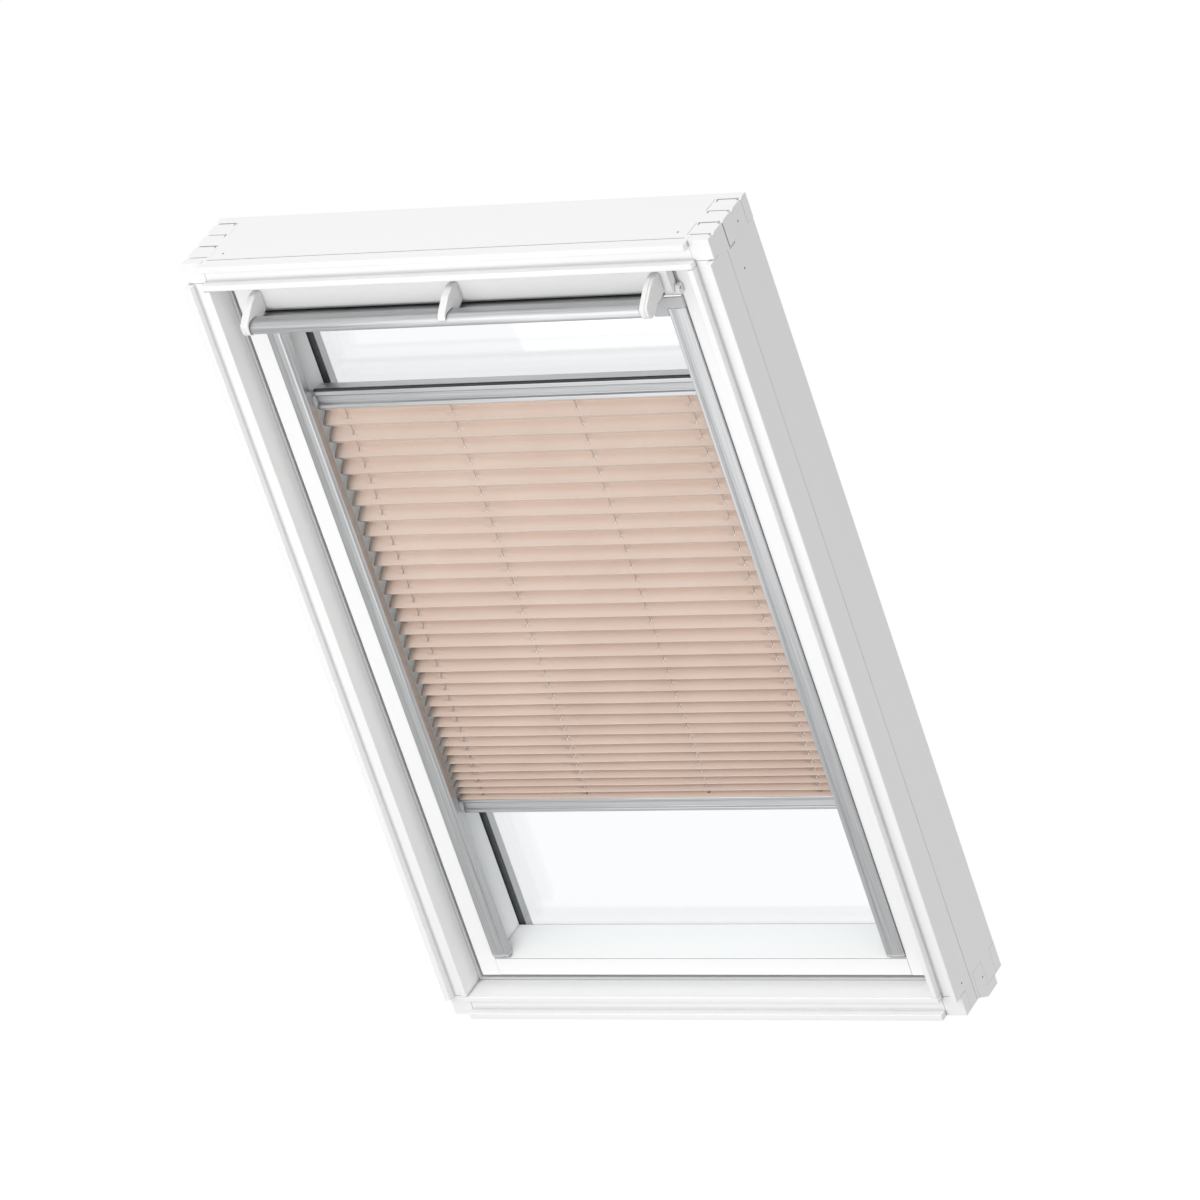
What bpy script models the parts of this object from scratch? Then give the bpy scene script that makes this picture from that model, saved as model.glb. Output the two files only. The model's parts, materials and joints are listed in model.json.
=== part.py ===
"""Centre-pivot roof window with its pleated blind, seen closed from the room.

Metres. X runs to the right as seen from the room, Y from the room to the outside and Z up the slope.
The origin is the middle of the flat underside of the bottom frame member.
"""

import math

import bmesh
import bpy
from mathutils import Matrix, Vector

NAME = "roof_window_with_pleated_blind"
GAP = 0.0003  # clearance between pieces that touch
PAST = 0.001  # how far a cutter runs past the face that it opens

# Frame: a deep box of four boards, with a grooved strip along each board's edge towards the room
FRAME_WIDTH = 0.780
FRAME_HEIGHT = 1.180
FRAME_BACK = 0.095
GROOVE_FLOOR = -0.020  # the corner blocks lie at this level too
LIP_RISE = 0.0124
LIP_WIDTH = 0.009
INNER_LIP = 0.0084
STRIP_BACK = -0.0133  # where the grooved strips meet the boards: the line seen on the frame's top
WALL = 0.036
BLOCK = 0.030  # side of the square corner blocks, where the lips stop
EDGE_ROUND = 0.0012
SCRIBE_WIDTH = 0.0012
SCRIBE_DEPTH = 0.0008
SIDE_SCRIBE_Y = 0.015
DRIP_DEPTH = 0.014
DRIP_START = 0.019
DRIP_LOW = 0.043
DRIP_END = 0.073
DRIP_STEP = 0.001
DRIP_ROUND = 0.002

# Finger joints of the frame's corners, with their open joint lines and rounded finger ends
FINGER_FIRST = 0.0145
FINGER_PITCH = 0.0283
JOINT_LINE = 0.002
JOINT_LINE_DEPTH = 0.0015
JOINT_LINE_INSET = 0.0035
JOINT_HOOK = 0.0055
SIDE_HOOK = 0.015
FINGER_ROUND = 0.0045
FINGER_ROUND_DEPTH = 0.003
NAIL_R = 0.0017
NAIL_DEPTH = 0.003
SIDE_NAILS = ((0.040, 0.078), (0.059, 0.021))  # depth, and distance down from the frame's top
LOW_SIDE_NAIL = (-0.008, 0.043)
LOW_END_NAIL = (0.044, 0.016)
TOP_NAIL = (0.053, 0.002)  # distance in from the frame's side, and depth

# Sash: four members that carry the sealed glass unit
SASH_GAP = 0.012
SASH_FACE = 0.0024
STILE_FACE = 0.028
BOTTOM_RAIL_FACE = 0.028
TOP_RAIL_FACE = 0.043
BEVEL_RUN = 0.0218
BOTTOM_BEVEL_RUN = 0.0198
TOP_BEVEL_RUN = 0.021
BEVEL_DEPTH = 0.0491
SASH_ROUND = 0.0012
COPE_OVERLAP = 0.004  # how far a rail runs into its cope before it is scribed

# Glass unit
PANE = 0.004
CAVITY = 0.016
GASKET = 0.0015
GASKET_LIP = 0.001
SIDE_LAP = 0.0118
BOTTOM_LAP = 0.0318
TOP_LAP = 0.012
REBATE_CLEARANCE = 0.0025
SEAL_WIDTH = 0.011
SPACER_WIDTH = 0.008
BUTYL = 0.001
BEAD_HEIGHT = 0.0105
BEAD_WALL = 0.0015
BEAD_LAP = 0.011
BEAD_SLOPE = 0.012
BEAD_TOE = 0.003
BEAD_ROUND = 0.002
BEAD_INSET = 0.0005

# Sash pivot, at mid-height in the gap beside the stiles
PIVOT_Y = 0.040
PIVOT_PLATE = 0.0025
PIVOT_PLATE_WIDTH = 0.022
PIVOT_PLATE_HEIGHT = 0.070
PIVOT_PIN_R = 0.004
PIVOT_BOSS_R = 0.010
PIVOT_CLEARANCE = 0.0003

# Weather seal on the frame's reveal
SEAL_FRONT = 0.0085
SEAL_BACK = 0.028
SEAL_PROUD = 0.004

# Ventilation flap, its hinge and the duct behind it
FLAP_INSET = 0.030  # from the sash's side edge to the flap's end
FLAP_RISE = 0.003  # how far the flap stands above the sash's top edge
FLAP_HEIGHT = 0.035
FLAP_FRONT = -0.0145
FLAP_BACK = 0.0
FLAP_ROUND = 0.007
FLAP_HINGE_Y = -0.0035
FLAP_HINGE_RISE = 0.0035
HINGE_PIN_R = 0.002
HINGE_PIN_LENGTH = 0.012
HINGE_PIN_RECESS = 0.001
BEARING_WIDTH = 0.006
BEARING_R = 0.005
BEARING_FOOT = 0.003
DUCT_DROP = 0.027
DUCT_HEIGHT = 0.013
DUCT_INSET = 0.032
DUCT_DEPTH = 0.022
DUCT_OUTLET = 0.008
DUCT_EDGE = 0.001
OUTLET_OFFSET = 0.008
FILTER_FRONT = 0.002
FILTER_THICK = 0.010
FLAP_GASKET_RISE = 0.003
FLAP_GASKET_HEIGHT = 0.006
FLAP_GASKET_OVERHANG = 0.015

# Control bar: an aluminium grip with a wing, held by two end brackets and one in the middle
GRIP_FRONT = -0.065
GRIP_BACK = -0.042
GRIP_DROP = 0.0055  # how far the grip hangs below the flap
GRIP_HEIGHT = 0.0175
GRIP_ROUND = 0.010
WING = 0.002
WING_END = -0.0085
BAR_INSET = 0.011  # from the flap's end to the bar's outer end
BRACKET_WIDTH = 0.0068
MIDDLE_BRACKET_WIDTH = 0.0106
BRACKET_RIM = 0.0012
BRACKET_DROP = 0.002
END_CAP = 0.0040

# Lock in the middle of the sash's top edge
LOCK_HALF = 0.038
LOCK_DEPTH = 0.024
LOCK_HEIGHT = 0.022
LATCH_HALF = 0.006
LATCH_RISE = 0.006
LATCH_THICK = 0.006
LATCH_AXIS_DROP = 0.010
LATCH_FOOT = 0.005
TRUNNION_R = 0.002
TRUNNION_LENGTH = 0.0035
SLOT_FRONT = 0.009
SLOT_BACK = 0.006
SLOT_FOOT = 0.007
STRIKER_CLEARANCE = 0.0007
STRIKER_PLATE = 0.0022
STRIKER_LIP = 0.004
STRIKER_SPACE = 0.002
STRIKER_REACH = 0.020

# Blind: side rails, brackets, two sliding rails and the pleated fabric
RAIL_WIDTH = 0.0257
RAIL_FRONT = -0.002
RAIL_BACK = 0.010
RAIL_WALL = 0.0014
RAIL_RISE = 0.008  # from the bottom sash rail's bevel to the side rail's foot
RAIL_CAP = 0.0037
CORNER_DROP = 0.0005
CORNER_HEIGHT = 0.0275
CORNER_STEP = 0.0114  # the part of the corner bracket beside the side rail's top
CORNER_REACH = 0.022
CORNER_BACK = 0.0384
CORNER_PLATE = 0.003
SLIDER_CLEARANCE = 0.001
SLIDER_FRONT = 0.015
SLIDER_BACK = 0.037
SLIDER_WALL = 0.0015
SLIDER_ROUND = 0.001
TOP_SLIDER_DROP = 0.127
TOP_SLIDER_HEIGHT = 0.0265
BOTTOM_SLIDER_RISE = 0.218
BOTTOM_SLIDER_HEIGHT = 0.020
BRUSH = 0.002
BRUSH_INSET = 0.0006
BRUSH_DEPTH = 0.004
GLIDE_LENGTH = 0.014
GLIDE_DEPTH = 0.007
GLIDE_TONGUE = 0.0022
GLIDE_CLEARANCE = 0.0012
FABRIC_INSET = 0.002
FABRIC_Y = 0.026
FABRIC_THICK = 0.0004
PLEATS = 32
FACET = 0.020
PLEAT_TAPER = 0.60  # how much narrower the lowest pleat is than the highest
PLEAT_CURVE = 1.5

ARC_STEPS = 4
ROUND_STEPS = 24
NAIL_STEPS = 10

HALF_WIDTH = FRAME_WIDTH / 2
LIP_FRONT = GROOVE_FLOOR - LIP_RISE
OPEN_HALF = HALF_WIDTH - WALL
OPEN_LOW = WALL
OPEN_TOP = FRAME_HEIGHT - WALL
FINGERS = [GROOVE_FLOOR + FINGER_FIRST + FINGER_PITCH * i for i in range(4)]
SASH_HALF = OPEN_HALF - SASH_GAP
SASH_LOW = OPEN_LOW + SASH_GAP
SASH_TOP = OPEN_TOP - SASH_GAP
STILE_INNER = SASH_HALF - STILE_FACE
LIP_HALF = STILE_INNER - BEVEL_RUN
REBATE_Y = SASH_FACE + BEVEL_DEPTH
PANE_Y = REBATE_Y + GASKET
PANE_2_Y = PANE_Y + PANE + CAVITY
SASH_BACK = PANE_2_Y + PANE
LOW_EDGE = SASH_LOW + BOTTOM_RAIL_FACE
LOW_LIP = LOW_EDGE + BOTTOM_BEVEL_RUN
HIGH_EDGE = SASH_TOP - TOP_RAIL_FACE
HIGH_LIP = HIGH_EDGE - TOP_BEVEL_RUN
GLASS_HALF = LIP_HALF + SIDE_LAP
GLASS_LOW = LOW_LIP - BOTTOM_LAP
GLASS_TOP = HIGH_LIP + TOP_LAP
PIVOT_Z = FRAME_HEIGHT / 2
LATCH_AXIS_Z = SASH_TOP - LATCH_AXIS_DROP
FLAP_HALF = SASH_HALF - FLAP_INSET
FLAP_TOP = SASH_TOP + FLAP_RISE
FLAP_LOW = FLAP_TOP - FLAP_HEIGHT
FLAP_HINGE_Z = FLAP_LOW + FLAP_HINGE_RISE
DUCT_HALF = FLAP_HALF - DUCT_INSET
DUCT_LOW = SASH_TOP - DUCT_DROP
DUCT_TOP = DUCT_LOW + DUCT_HEIGHT
GRIP_LOW = FLAP_LOW - GRIP_DROP
GRIP_TOP = GRIP_LOW + GRIP_HEIGHT
BAR_OUTER = FLAP_HALF - BAR_INSET
BRACKET_OUTER = BAR_OUTER - END_CAP - GAP
BRACKET_TOP = FLAP_TOP - BRACKET_DROP
RAIL_OUTER = STILE_INNER - GAP
RAIL_INNER = RAIL_OUTER - RAIL_WIDTH
RAIL_LOW = LOW_EDGE + RAIL_RISE
CORNER_TOP = HIGH_EDGE - CORNER_DROP
CORNER_LOW = CORNER_TOP - CORNER_HEIGHT
CORNER_INNER = RAIL_INNER - CORNER_REACH
RAIL_TOP = CORNER_LOW + CORNER_STEP - GAP
SLIDER_HALF = RAIL_INNER - SLIDER_CLEARANCE
TOP_SLIDER_LOW = CORNER_LOW - TOP_SLIDER_DROP
TOP_SLIDER_TOP = TOP_SLIDER_LOW + TOP_SLIDER_HEIGHT
BOTTOM_SLIDER_LOW = RAIL_LOW + BOTTOM_SLIDER_RISE
BOTTOM_SLIDER_TOP = BOTTOM_SLIDER_LOW + BOTTOM_SLIDER_HEIGHT
FABRIC_HALF = SLIDER_HALF - FABRIC_INSET

WHITE = ("white_lacquer", (0.90, 0.90, 0.90), 0.35, 0.0)
WHITE_PLASTIC = ("white_plastic", (0.86, 0.86, 0.86), 0.4, 0.0)
GREY_PLASTIC = ("grey_plastic", (0.62, 0.63, 0.64), 0.45, 0.0)
ALUMINIUM = ("anodised_aluminium", (0.62, 0.63, 0.64), 0.35, 1.0)
CLADDING = ("grey_lacquered_aluminium", (0.20, 0.21, 0.22), 0.5, 0.6)
STEEL = ("zinc_plated_steel", (0.55, 0.56, 0.58), 0.35, 1.0)
RUBBER = ("black_rubber", (0.03, 0.03, 0.032), 0.7, 0.0)
GREY_RUBBER = ("grey_rubber", (0.45, 0.45, 0.46), 0.7, 0.0)
FOAM = ("filter_foam", (0.25, 0.26, 0.27), 0.95, 0.0)
GLASS = ("clear_glass", (0.93, 0.97, 0.98), 0.05, 0.0)
FABRIC = ("pleated_fabric", (0.76, 0.60, 0.50), 0.9, 0.0)

PLANES = {
    "X": Matrix(((0, 0, 1, 0), (1, 0, 0, 0), (0, 1, 0, 0), (0, 0, 0, 1))),
    "Z": Matrix.Identity(4),
}


def clear_scene():
    for obj in list(bpy.data.objects):
        bpy.data.objects.remove(obj, do_unlink=True)


def new_collection(name, hidden=False):
    collection = bpy.data.collections.new(name)
    collection.hide_render = hidden
    bpy.context.scene.collection.children.link(collection)
    return collection


clear_scene()
PARTS = new_collection(NAME)
CUTTERS = new_collection("cutters", hidden=True)


def material(finish):
    name, colour, roughness, metallic = finish
    found = bpy.data.materials.get(name)
    if found:
        return found
    made = bpy.data.materials.new(name)
    made.use_nodes = True
    shader = made.node_tree.nodes["Principled BSDF"]
    shader.inputs["Base Color"].default_value = (*colour, 1.0)
    shader.inputs["Roughness"].default_value = roughness
    shader.inputs["Metallic"].default_value = metallic
    return made


def rounded(points):
    """The outline with an arc at each corner that gives a radius as its third number."""
    outline = []
    for index, corner in enumerate(points):
        if len(corner) == 2:
            outline.append(Vector(corner))
            continue
        here = Vector(corner[:2])
        back = Vector(points[index - 1][:2]) - here
        ahead = Vector(points[(index + 1) % len(points)][:2]) - here
        half = back.angle(ahead) / 2
        reach = min(corner[2] / math.tan(half), 0.49 * back.length, 0.49 * ahead.length)
        radius = reach * math.tan(half)
        centre = here + (back.normalized() + ahead.normalized()).normalized() * radius / math.sin(half)
        first = here + back.normalized() * reach - centre
        turn = first.angle_signed(here + ahead.normalized() * reach - centre)
        for step in range(ARC_STEPS + 1):
            angle = -turn * step / ARC_STEPS
            spoke = Matrix.Rotation(angle, 2) @ first
            outline.append(centre + spoke)
    return outline


def offset(points, distance, closed=False):
    """The line moved sideways, to its left by distance."""
    points = [Vector(point[:2]) for point in points]
    count = len(points)
    moved = []
    for index, here in enumerate(points):
        back = points[index - 1] if closed or index else None
        ahead = points[(index + 1) % count] if closed or index < count - 1 else None
        runs = [(b - a).normalized() for a, b in ((back, here), (here, ahead)) if a and b]
        normals = [Vector((-run.y, run.x)) for run in runs]
        mean = sum(normals, Vector((0, 0))).normalized()
        moved.append(here + mean * distance / max(mean.dot(normals[0]), 0.3))
    return moved


def wall_outline(line, thickness):
    """Outline of a wall whose outer side is the line, with its thickness to the line's left."""
    return list(line) + [tuple(point) for point in reversed(offset(line, thickness))]


def mirrored(points):
    return [(-point[0], *point[1:]) for point in points]


def to_mesh(obj, finish, collection):
    """A curve's evaluated shape as a mesh object, with its caps welded."""
    bpy.context.view_layer.update()
    graph = bpy.context.evaluated_depsgraph_get()
    mesh = bpy.data.meshes.new_from_object(obj.evaluated_get(graph))
    name, world = obj.name, obj.matrix_world.copy()
    bpy.data.objects.remove(obj, do_unlink=True)
    shape = bmesh.new()
    shape.from_mesh(mesh)
    bmesh.ops.remove_doubles(shape, verts=shape.verts, dist=0.00001)
    bmesh.ops.recalc_face_normals(shape, faces=shape.faces)
    shape.to_mesh(mesh)
    shape.free()
    made = bpy.data.objects.new(name, mesh)
    made.matrix_world = world
    collection.objects.link(made)
    mesh.materials.clear()
    if finish:
        mesh.materials.append(material(finish))
    return made


def extruded(name, points, start, end, axis, finish=None, collection=None):
    """A flat outline in the plane square to an axis, made solid from start to end along it."""
    curve = bpy.data.curves.new(name, "CURVE")
    curve.dimensions = "2D"
    curve.fill_mode = "BOTH"
    curve.extrude = abs(end - start) / 2
    outline = rounded(points)
    spline = curve.splines.new("POLY")
    spline.points.add(len(outline) - 1)
    for target, point in zip(spline.points, outline):
        target.co = (point[0], point[1], 0, 1)
    spline.use_cyclic_u = True
    obj = bpy.data.objects.new(name, curve)
    PARTS.objects.link(obj)
    middle = (start + end) / 2
    shift = {"X": (middle, 0, 0), "Z": (0, 0, middle)}[axis]
    obj.matrix_world = Matrix.Translation(shift) @ PLANES[axis]
    return to_mesh(obj, finish, collection or PARTS)


def box(name, low, high, finish=None, collection=None):
    """A block between two corners, with its origin in the middle."""
    low, high = Vector(low), Vector(high)
    shape = bmesh.new()
    bmesh.ops.create_cube(shape, size=1)
    bmesh.ops.scale(shape, vec=high - low, verts=shape.verts)
    return finished(name, shape, (low + high) / 2, finish, collection)


def cylinder(name, radius, start, end, centre, finish=None, collection=None, sides=ROUND_STEPS):
    """A round bar along X from start to end, about a centre given as (y, z)."""
    shape = bmesh.new()
    bmesh.ops.create_cone(
        shape, cap_ends=True, segments=sides, radius1=radius, radius2=radius, depth=end - start
    )
    bmesh.ops.rotate(shape, matrix=Matrix.Rotation(math.pi / 2, 3, "Y"), verts=shape.verts)
    return finished(name, shape, ((start + end) / 2, *centre), finish, collection)


def finished(name, shape, place, finish, collection):
    mesh = bpy.data.meshes.new(name)
    shape.to_mesh(mesh)
    shape.free()
    obj = bpy.data.objects.new(name, mesh)
    obj.location = place
    (collection or PARTS).objects.link(obj)
    if finish:
        mesh.materials.append(material(finish))
    return obj


def boolean(obj, other, operation="DIFFERENCE"):
    """Cuts a piece with a cutter, or joins a helper solid to it."""
    other.hide_render = True
    other.display_type = "WIRE"
    modifier = obj.modifiers.new(other.name, "BOOLEAN")
    modifier.operation = operation
    modifier.object = other


def cut_box(obj, label, low, high):
    low, high = zip(*(sorted(pair) for pair in zip(low, high)))
    boolean(obj, box(f"cut_{obj.name}_{label}", low, high, collection=CUTTERS))


def smooth(obj, degrees=35):
    obj.data.shade_smooth()
    obj.data.set_sharp_from_angle(angle=math.radians(degrees))


def parent_to(empty, objects):
    """Hangs pieces on a joint's empty and leaves them where they are."""
    for obj in objects:
        obj.parent = empty
        obj.matrix_parent_inverse = Matrix.Translation(-Vector(empty.location))


def joint_empty(name, place):
    empty = bpy.data.objects.new(name, None)
    empty.location = place
    empty.empty_display_size = 0.05
    PARTS.objects.link(empty)
    return empty


# Frame


def strip_profile(place):
    """A grooved strip's section: an outer lip, the lining groove and the inner lip.

    place turns a distance in from the frame's outer face and a depth into the section's own plane.
    """
    section = [
        (0, LIP_FRONT, EDGE_ROUND),
        (LIP_WIDTH, LIP_FRONT, EDGE_ROUND),
        (LIP_WIDTH, GROOVE_FLOOR),
        (WALL - INNER_LIP, GROOVE_FLOOR),
        (WALL - INNER_LIP, LIP_FRONT, EDGE_ROUND),
        (WALL, LIP_FRONT, EDGE_ROUND),
        (WALL, STRIP_BACK - GAP / 2),
        (0, STRIP_BACK - GAP / 2),
    ]
    return [(*place(point[0], point[1]), *point[2:]) for point in section]


def board_profile(place, front):
    """A board's section, from its front face at the depth front to the frame's back."""
    section = [(0, front), (WALL, front), (WALL, FRAME_BACK), (0, FRAME_BACK, EDGE_ROUND)]
    return [(*place(point[0], point[1]), *point[2:]) for point in section]


def bottom_profile():
    """The bottom board's section, whose underside steps down to a drip edge."""
    section = board_profile(lambda inward, depth: (depth, inward), GROOVE_FLOOR)
    underside = [
        (FRAME_BACK, -DRIP_STEP),
        (DRIP_END, -DRIP_STEP),
        (DRIP_END, -DRIP_DEPTH, DRIP_ROUND),
        (DRIP_LOW, -DRIP_DEPTH, DRIP_ROUND),
        (DRIP_START, 0),
    ]
    return section[:-1] + underside


def cross_strip(name, base, inward):
    """The grooved strip of the top or bottom board, whose outer lip stops at the corner blocks.

    base is the height of the board's outer face and inward is +1 or -1 along Z.
    """
    end = OPEN_HALF + INNER_LIP
    strip = extruded(
        name, strip_profile(lambda away, depth: (depth, base + inward * away)), -end, end, "X", WHITE
    )
    outside = base - inward * PAST
    groove = base + inward * (WALL - INNER_LIP)
    for side, label in ((-1, "left"), (1, "right")):
        cut_box(
            strip,
            f"lip_{label}",
            (side * (HALF_WIDTH - BLOCK), LIP_FRONT - PAST, outside),
            (side * (end + PAST), STRIP_BACK, groove),
        )
    return strip


def side_strip(name, side):
    """The grooved strip of a side board, whose inner lip stops short at the top and bottom strips."""
    strip = extruded(
        name,
        strip_profile(lambda inward, depth: (side * (HALF_WIDTH - inward), depth)),
        BLOCK + GAP, FRAME_HEIGHT - BLOCK - GAP, "Z", WHITE,
    )
    outer = side * (OPEN_HALF + INNER_LIP + GAP)
    inner = side * (OPEN_HALF - PAST)
    for base, inward, label in ((0, 1, "low"), (FRAME_HEIGHT, -1, "high")):
        cut_box(
            strip,
            f"end_{label}",
            (outer, LIP_FRONT - PAST, base),
            (inner, STRIP_BACK, base + inward * (WALL + GAP)),
        )
    return strip


def cut_cross_member(member, base, inward):
    """The strip's seat and the finger slots of the top or bottom board, at both of its ends.

    base is the height of the board's outer face and inward is +1 or -1 along Z.
    """
    outside = base - inward * (DRIP_DEPTH + PAST)
    over = GROOVE_FLOOR - PAST
    seat = STRIP_BACK + GAP / 2
    for side, label in ((-1, "left"), (1, "right")):
        far = side * (HALF_WIDTH + PAST)
        block = side * (HALF_WIDTH - BLOCK + GAP)
        strip = side * (OPEN_HALF + INNER_LIP)
        shoulder = side * (OPEN_HALF - GAP)
        groove = base + inward * (WALL - INNER_LIP - GAP)
        inside = base + inward * (WALL + PAST)
        cut_box(member, f"seat_{label}", (0, over, outside), (block, seat, inside))
        cut_box(member, f"notch_{label}", (shoulder, over, groove), (strip + side * GAP, seat, inside))
        tongue_low = base + inward * (BLOCK - GAP)
        cut_box(
            member,
            f"tongue_{label}",
            (strip - side * GAP, over, tongue_low),
            (far, FINGERS[0] + GAP / 2, inside),
        )
        for number, (near, deep) in enumerate(((FINGERS[0], FINGERS[1]), (FINGERS[2], FINGERS[3]))):
            floor = outside if number == 0 or inward < 0 else base - GAP
            cut_box(
                member,
                f"finger_{number}_{label}",
                (shoulder, near - GAP / 2, floor),
                (far, deep + GAP / 2, inside),
            )


def cut_side_member(member, side):
    """The spaces between the fingers at both ends of a side board, and its scribed line."""
    far = side * (HALF_WIDTH + PAST)
    near = side * (OPEN_HALF - PAST)
    strip = side * (OPEN_HALF + INNER_LIP + GAP)
    over = STRIP_BACK - PAST
    behind = FRAME_BACK + PAST
    for base, inward, label in ((0, 1, "low"), (FRAME_HEIGHT, -1, "high")):
        outside = base - inward * PAST
        tongue = base + inward * (BLOCK + GAP)
        shoulder = base + inward * (WALL + GAP)
        cut_box(member, f"block_{label}", (far, over, outside), (near, FINGERS[0] + GAP / 2, tongue))
        cut_box(member, f"strip_{label}", (strip, over, outside), (near, FINGERS[0] + GAP / 2, shoulder))
        cut_box(member, f"space_{label}", (far, FINGERS[1] - GAP / 2, outside),
                (near, FINGERS[2] + GAP / 2, shoulder))
        cut_box(member, f"heel_{label}", (far, FINGERS[3] - GAP / 2, outside), (near, behind, shoulder))
    cut_box(
        member,
        "scribe",
        (side * (HALF_WIDTH - SCRIBE_DEPTH), SIDE_SCRIBE_Y - SCRIBE_WIDTH / 2, -PAST),
        (far, SIDE_SCRIBE_Y + SCRIBE_WIDTH / 2, OPEN_TOP - PAST),
    )


def cut_joint_lines(top, member, side):
    """The open lines and rounded finger ends at an upper corner, cut from both members alike."""
    word = member.name
    half = JOINT_LINE / 2
    far = HALF_WIDTH + PAST
    inner = OPEN_HALF + JOINT_LINE_INSET
    floor = FRAME_HEIGHT - JOINT_LINE_DEPTH
    above = FRAME_HEIGHT + PAST
    cutters = []
    for number, line in enumerate(FINGERS):
        outline = [(far, line + half), (inner, line + half), (inner, line - half), (far, line - half)]
        if number:
            outline[2:3] = [
                (inner, line - JOINT_HOOK),
                (inner + JOINT_LINE, line - JOINT_HOOK),
                (inner + JOINT_LINE, line - half),
            ]
        outline = outline if side > 0 else mirrored(outline)
        cutters.append(extruded(f"line_{number}_{word}", outline, floor, above, "Z", collection=CUTTERS))
        vee = [
            (line - FINGER_ROUND, above),
            (line - FINGER_ROUND, FRAME_HEIGHT),
            (line, FRAME_HEIGHT - FINGER_ROUND_DEPTH),
            (line + FINGER_ROUND, FRAME_HEIGHT),
            (line + FINGER_ROUND, above),
        ]
        ends = sorted((side * (HALF_WIDTH - FINGER_ROUND), side * far))
        cutters.append(extruded(f"vee_{number}_{word}", vee, *ends, "X", collection=CUTTERS))
    low = OPEN_TOP - JOINT_LINE_INSET
    hook = [
        (FINGERS[1] - half, above),
        (FINGERS[1] - half, low),
        (FINGERS[1] + SIDE_HOOK, low),
        (FINGERS[1] + SIDE_HOOK, low + JOINT_LINE),
        (FINGERS[1] + half, low + JOINT_LINE),
        (FINGERS[1] + half, above),
    ]
    ends = sorted((side * (HALF_WIDTH - JOINT_LINE_DEPTH), side * far))
    cutters.append(extruded(f"side_line_{word}", hook, *ends, "X", collection=CUTTERS))
    for cutter in cutters:
        boolean(top, cutter)
        boolean(member, cutter)


def nail_hole(member, label, side, centre):
    """A shallow nail hole in the frame's side, about a centre given as (y, z)."""
    ends = sorted((side * (HALF_WIDTH - NAIL_DEPTH), side * (HALF_WIDTH + PAST)))
    boolean(member, cylinder(f"nail_{label}_{member.name}_{side}", NAIL_R, *ends, centre,
                             collection=CUTTERS, sides=NAIL_STEPS))


def build_frame():
    top = extruded(
        "frame_top",
        board_profile(lambda inward, depth: (depth, FRAME_HEIGHT - inward), GROOVE_FLOOR),
        -HALF_WIDTH, HALF_WIDTH, "X", WHITE,
    )
    cut_cross_member(top, FRAME_HEIGHT, -1)
    cross_strip("groove_strip_bottom", 0, 1)
    for piece in (top, cross_strip("groove_strip_top", FRAME_HEIGHT, -1)):
        cut_box(
            piece,
            "scribe",
            (-OPEN_HALF, STRIP_BACK - SCRIBE_WIDTH / 2, FRAME_HEIGHT - SCRIBE_DEPTH),
            (OPEN_HALF, STRIP_BACK + SCRIBE_WIDTH / 2, FRAME_HEIGHT + PAST),
        )
    bottom = extruded("frame_bottom", bottom_profile(), -HALF_WIDTH, HALF_WIDTH, "X", WHITE)
    cut_cross_member(bottom, 0, 1)
    for side, label in ((-1, "left"), (1, "right")):
        side_strip(f"groove_strip_{label}", side)
        member = extruded(
            f"frame_{label}",
            board_profile(
                lambda inward, depth, side=side: (side * (HALF_WIDTH - inward), depth), STRIP_BACK + GAP / 2
            ),
            0, FRAME_HEIGHT, "Z", WHITE,
        )
        cut_side_member(member, side)
        cut_joint_lines(top, member, side)
        for number, (depth, drop) in enumerate(SIDE_NAILS):
            nail_hole(member, number, side, (depth, FRAME_HEIGHT - drop))
        nail_hole(member, "low", side, LOW_SIDE_NAIL)
        nail_hole(bottom, "end", side, LOW_END_NAIL)
        pin = cylinder(f"top_nail_{label}", NAIL_R, -NAIL_DEPTH, PAST, (0, 0), collection=CUTTERS,
                       sides=NAIL_STEPS)
        pin.location = (side * (HALF_WIDTH - TOP_NAIL[0]), TOP_NAIL[1], FRAME_HEIGHT)
        pin.rotation_euler = (0, math.pi / 2, 0)
        boolean(top, pin)
    seal = box(
        "weather_seal",
        (-OPEN_HALF + GAP, SEAL_FRONT, OPEN_LOW + GAP),
        (OPEN_HALF - GAP, SEAL_BACK, OPEN_TOP - GAP),
        GREY_RUBBER,
    )
    cut_box(
        seal,
        "opening",
        (-OPEN_HALF + SEAL_PROUD, SEAL_FRONT - PAST, OPEN_LOW + SEAL_PROUD),
        (OPEN_HALF - SEAL_PROUD, SEAL_BACK + PAST, OPEN_TOP - SEAL_PROUD),
    )


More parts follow.
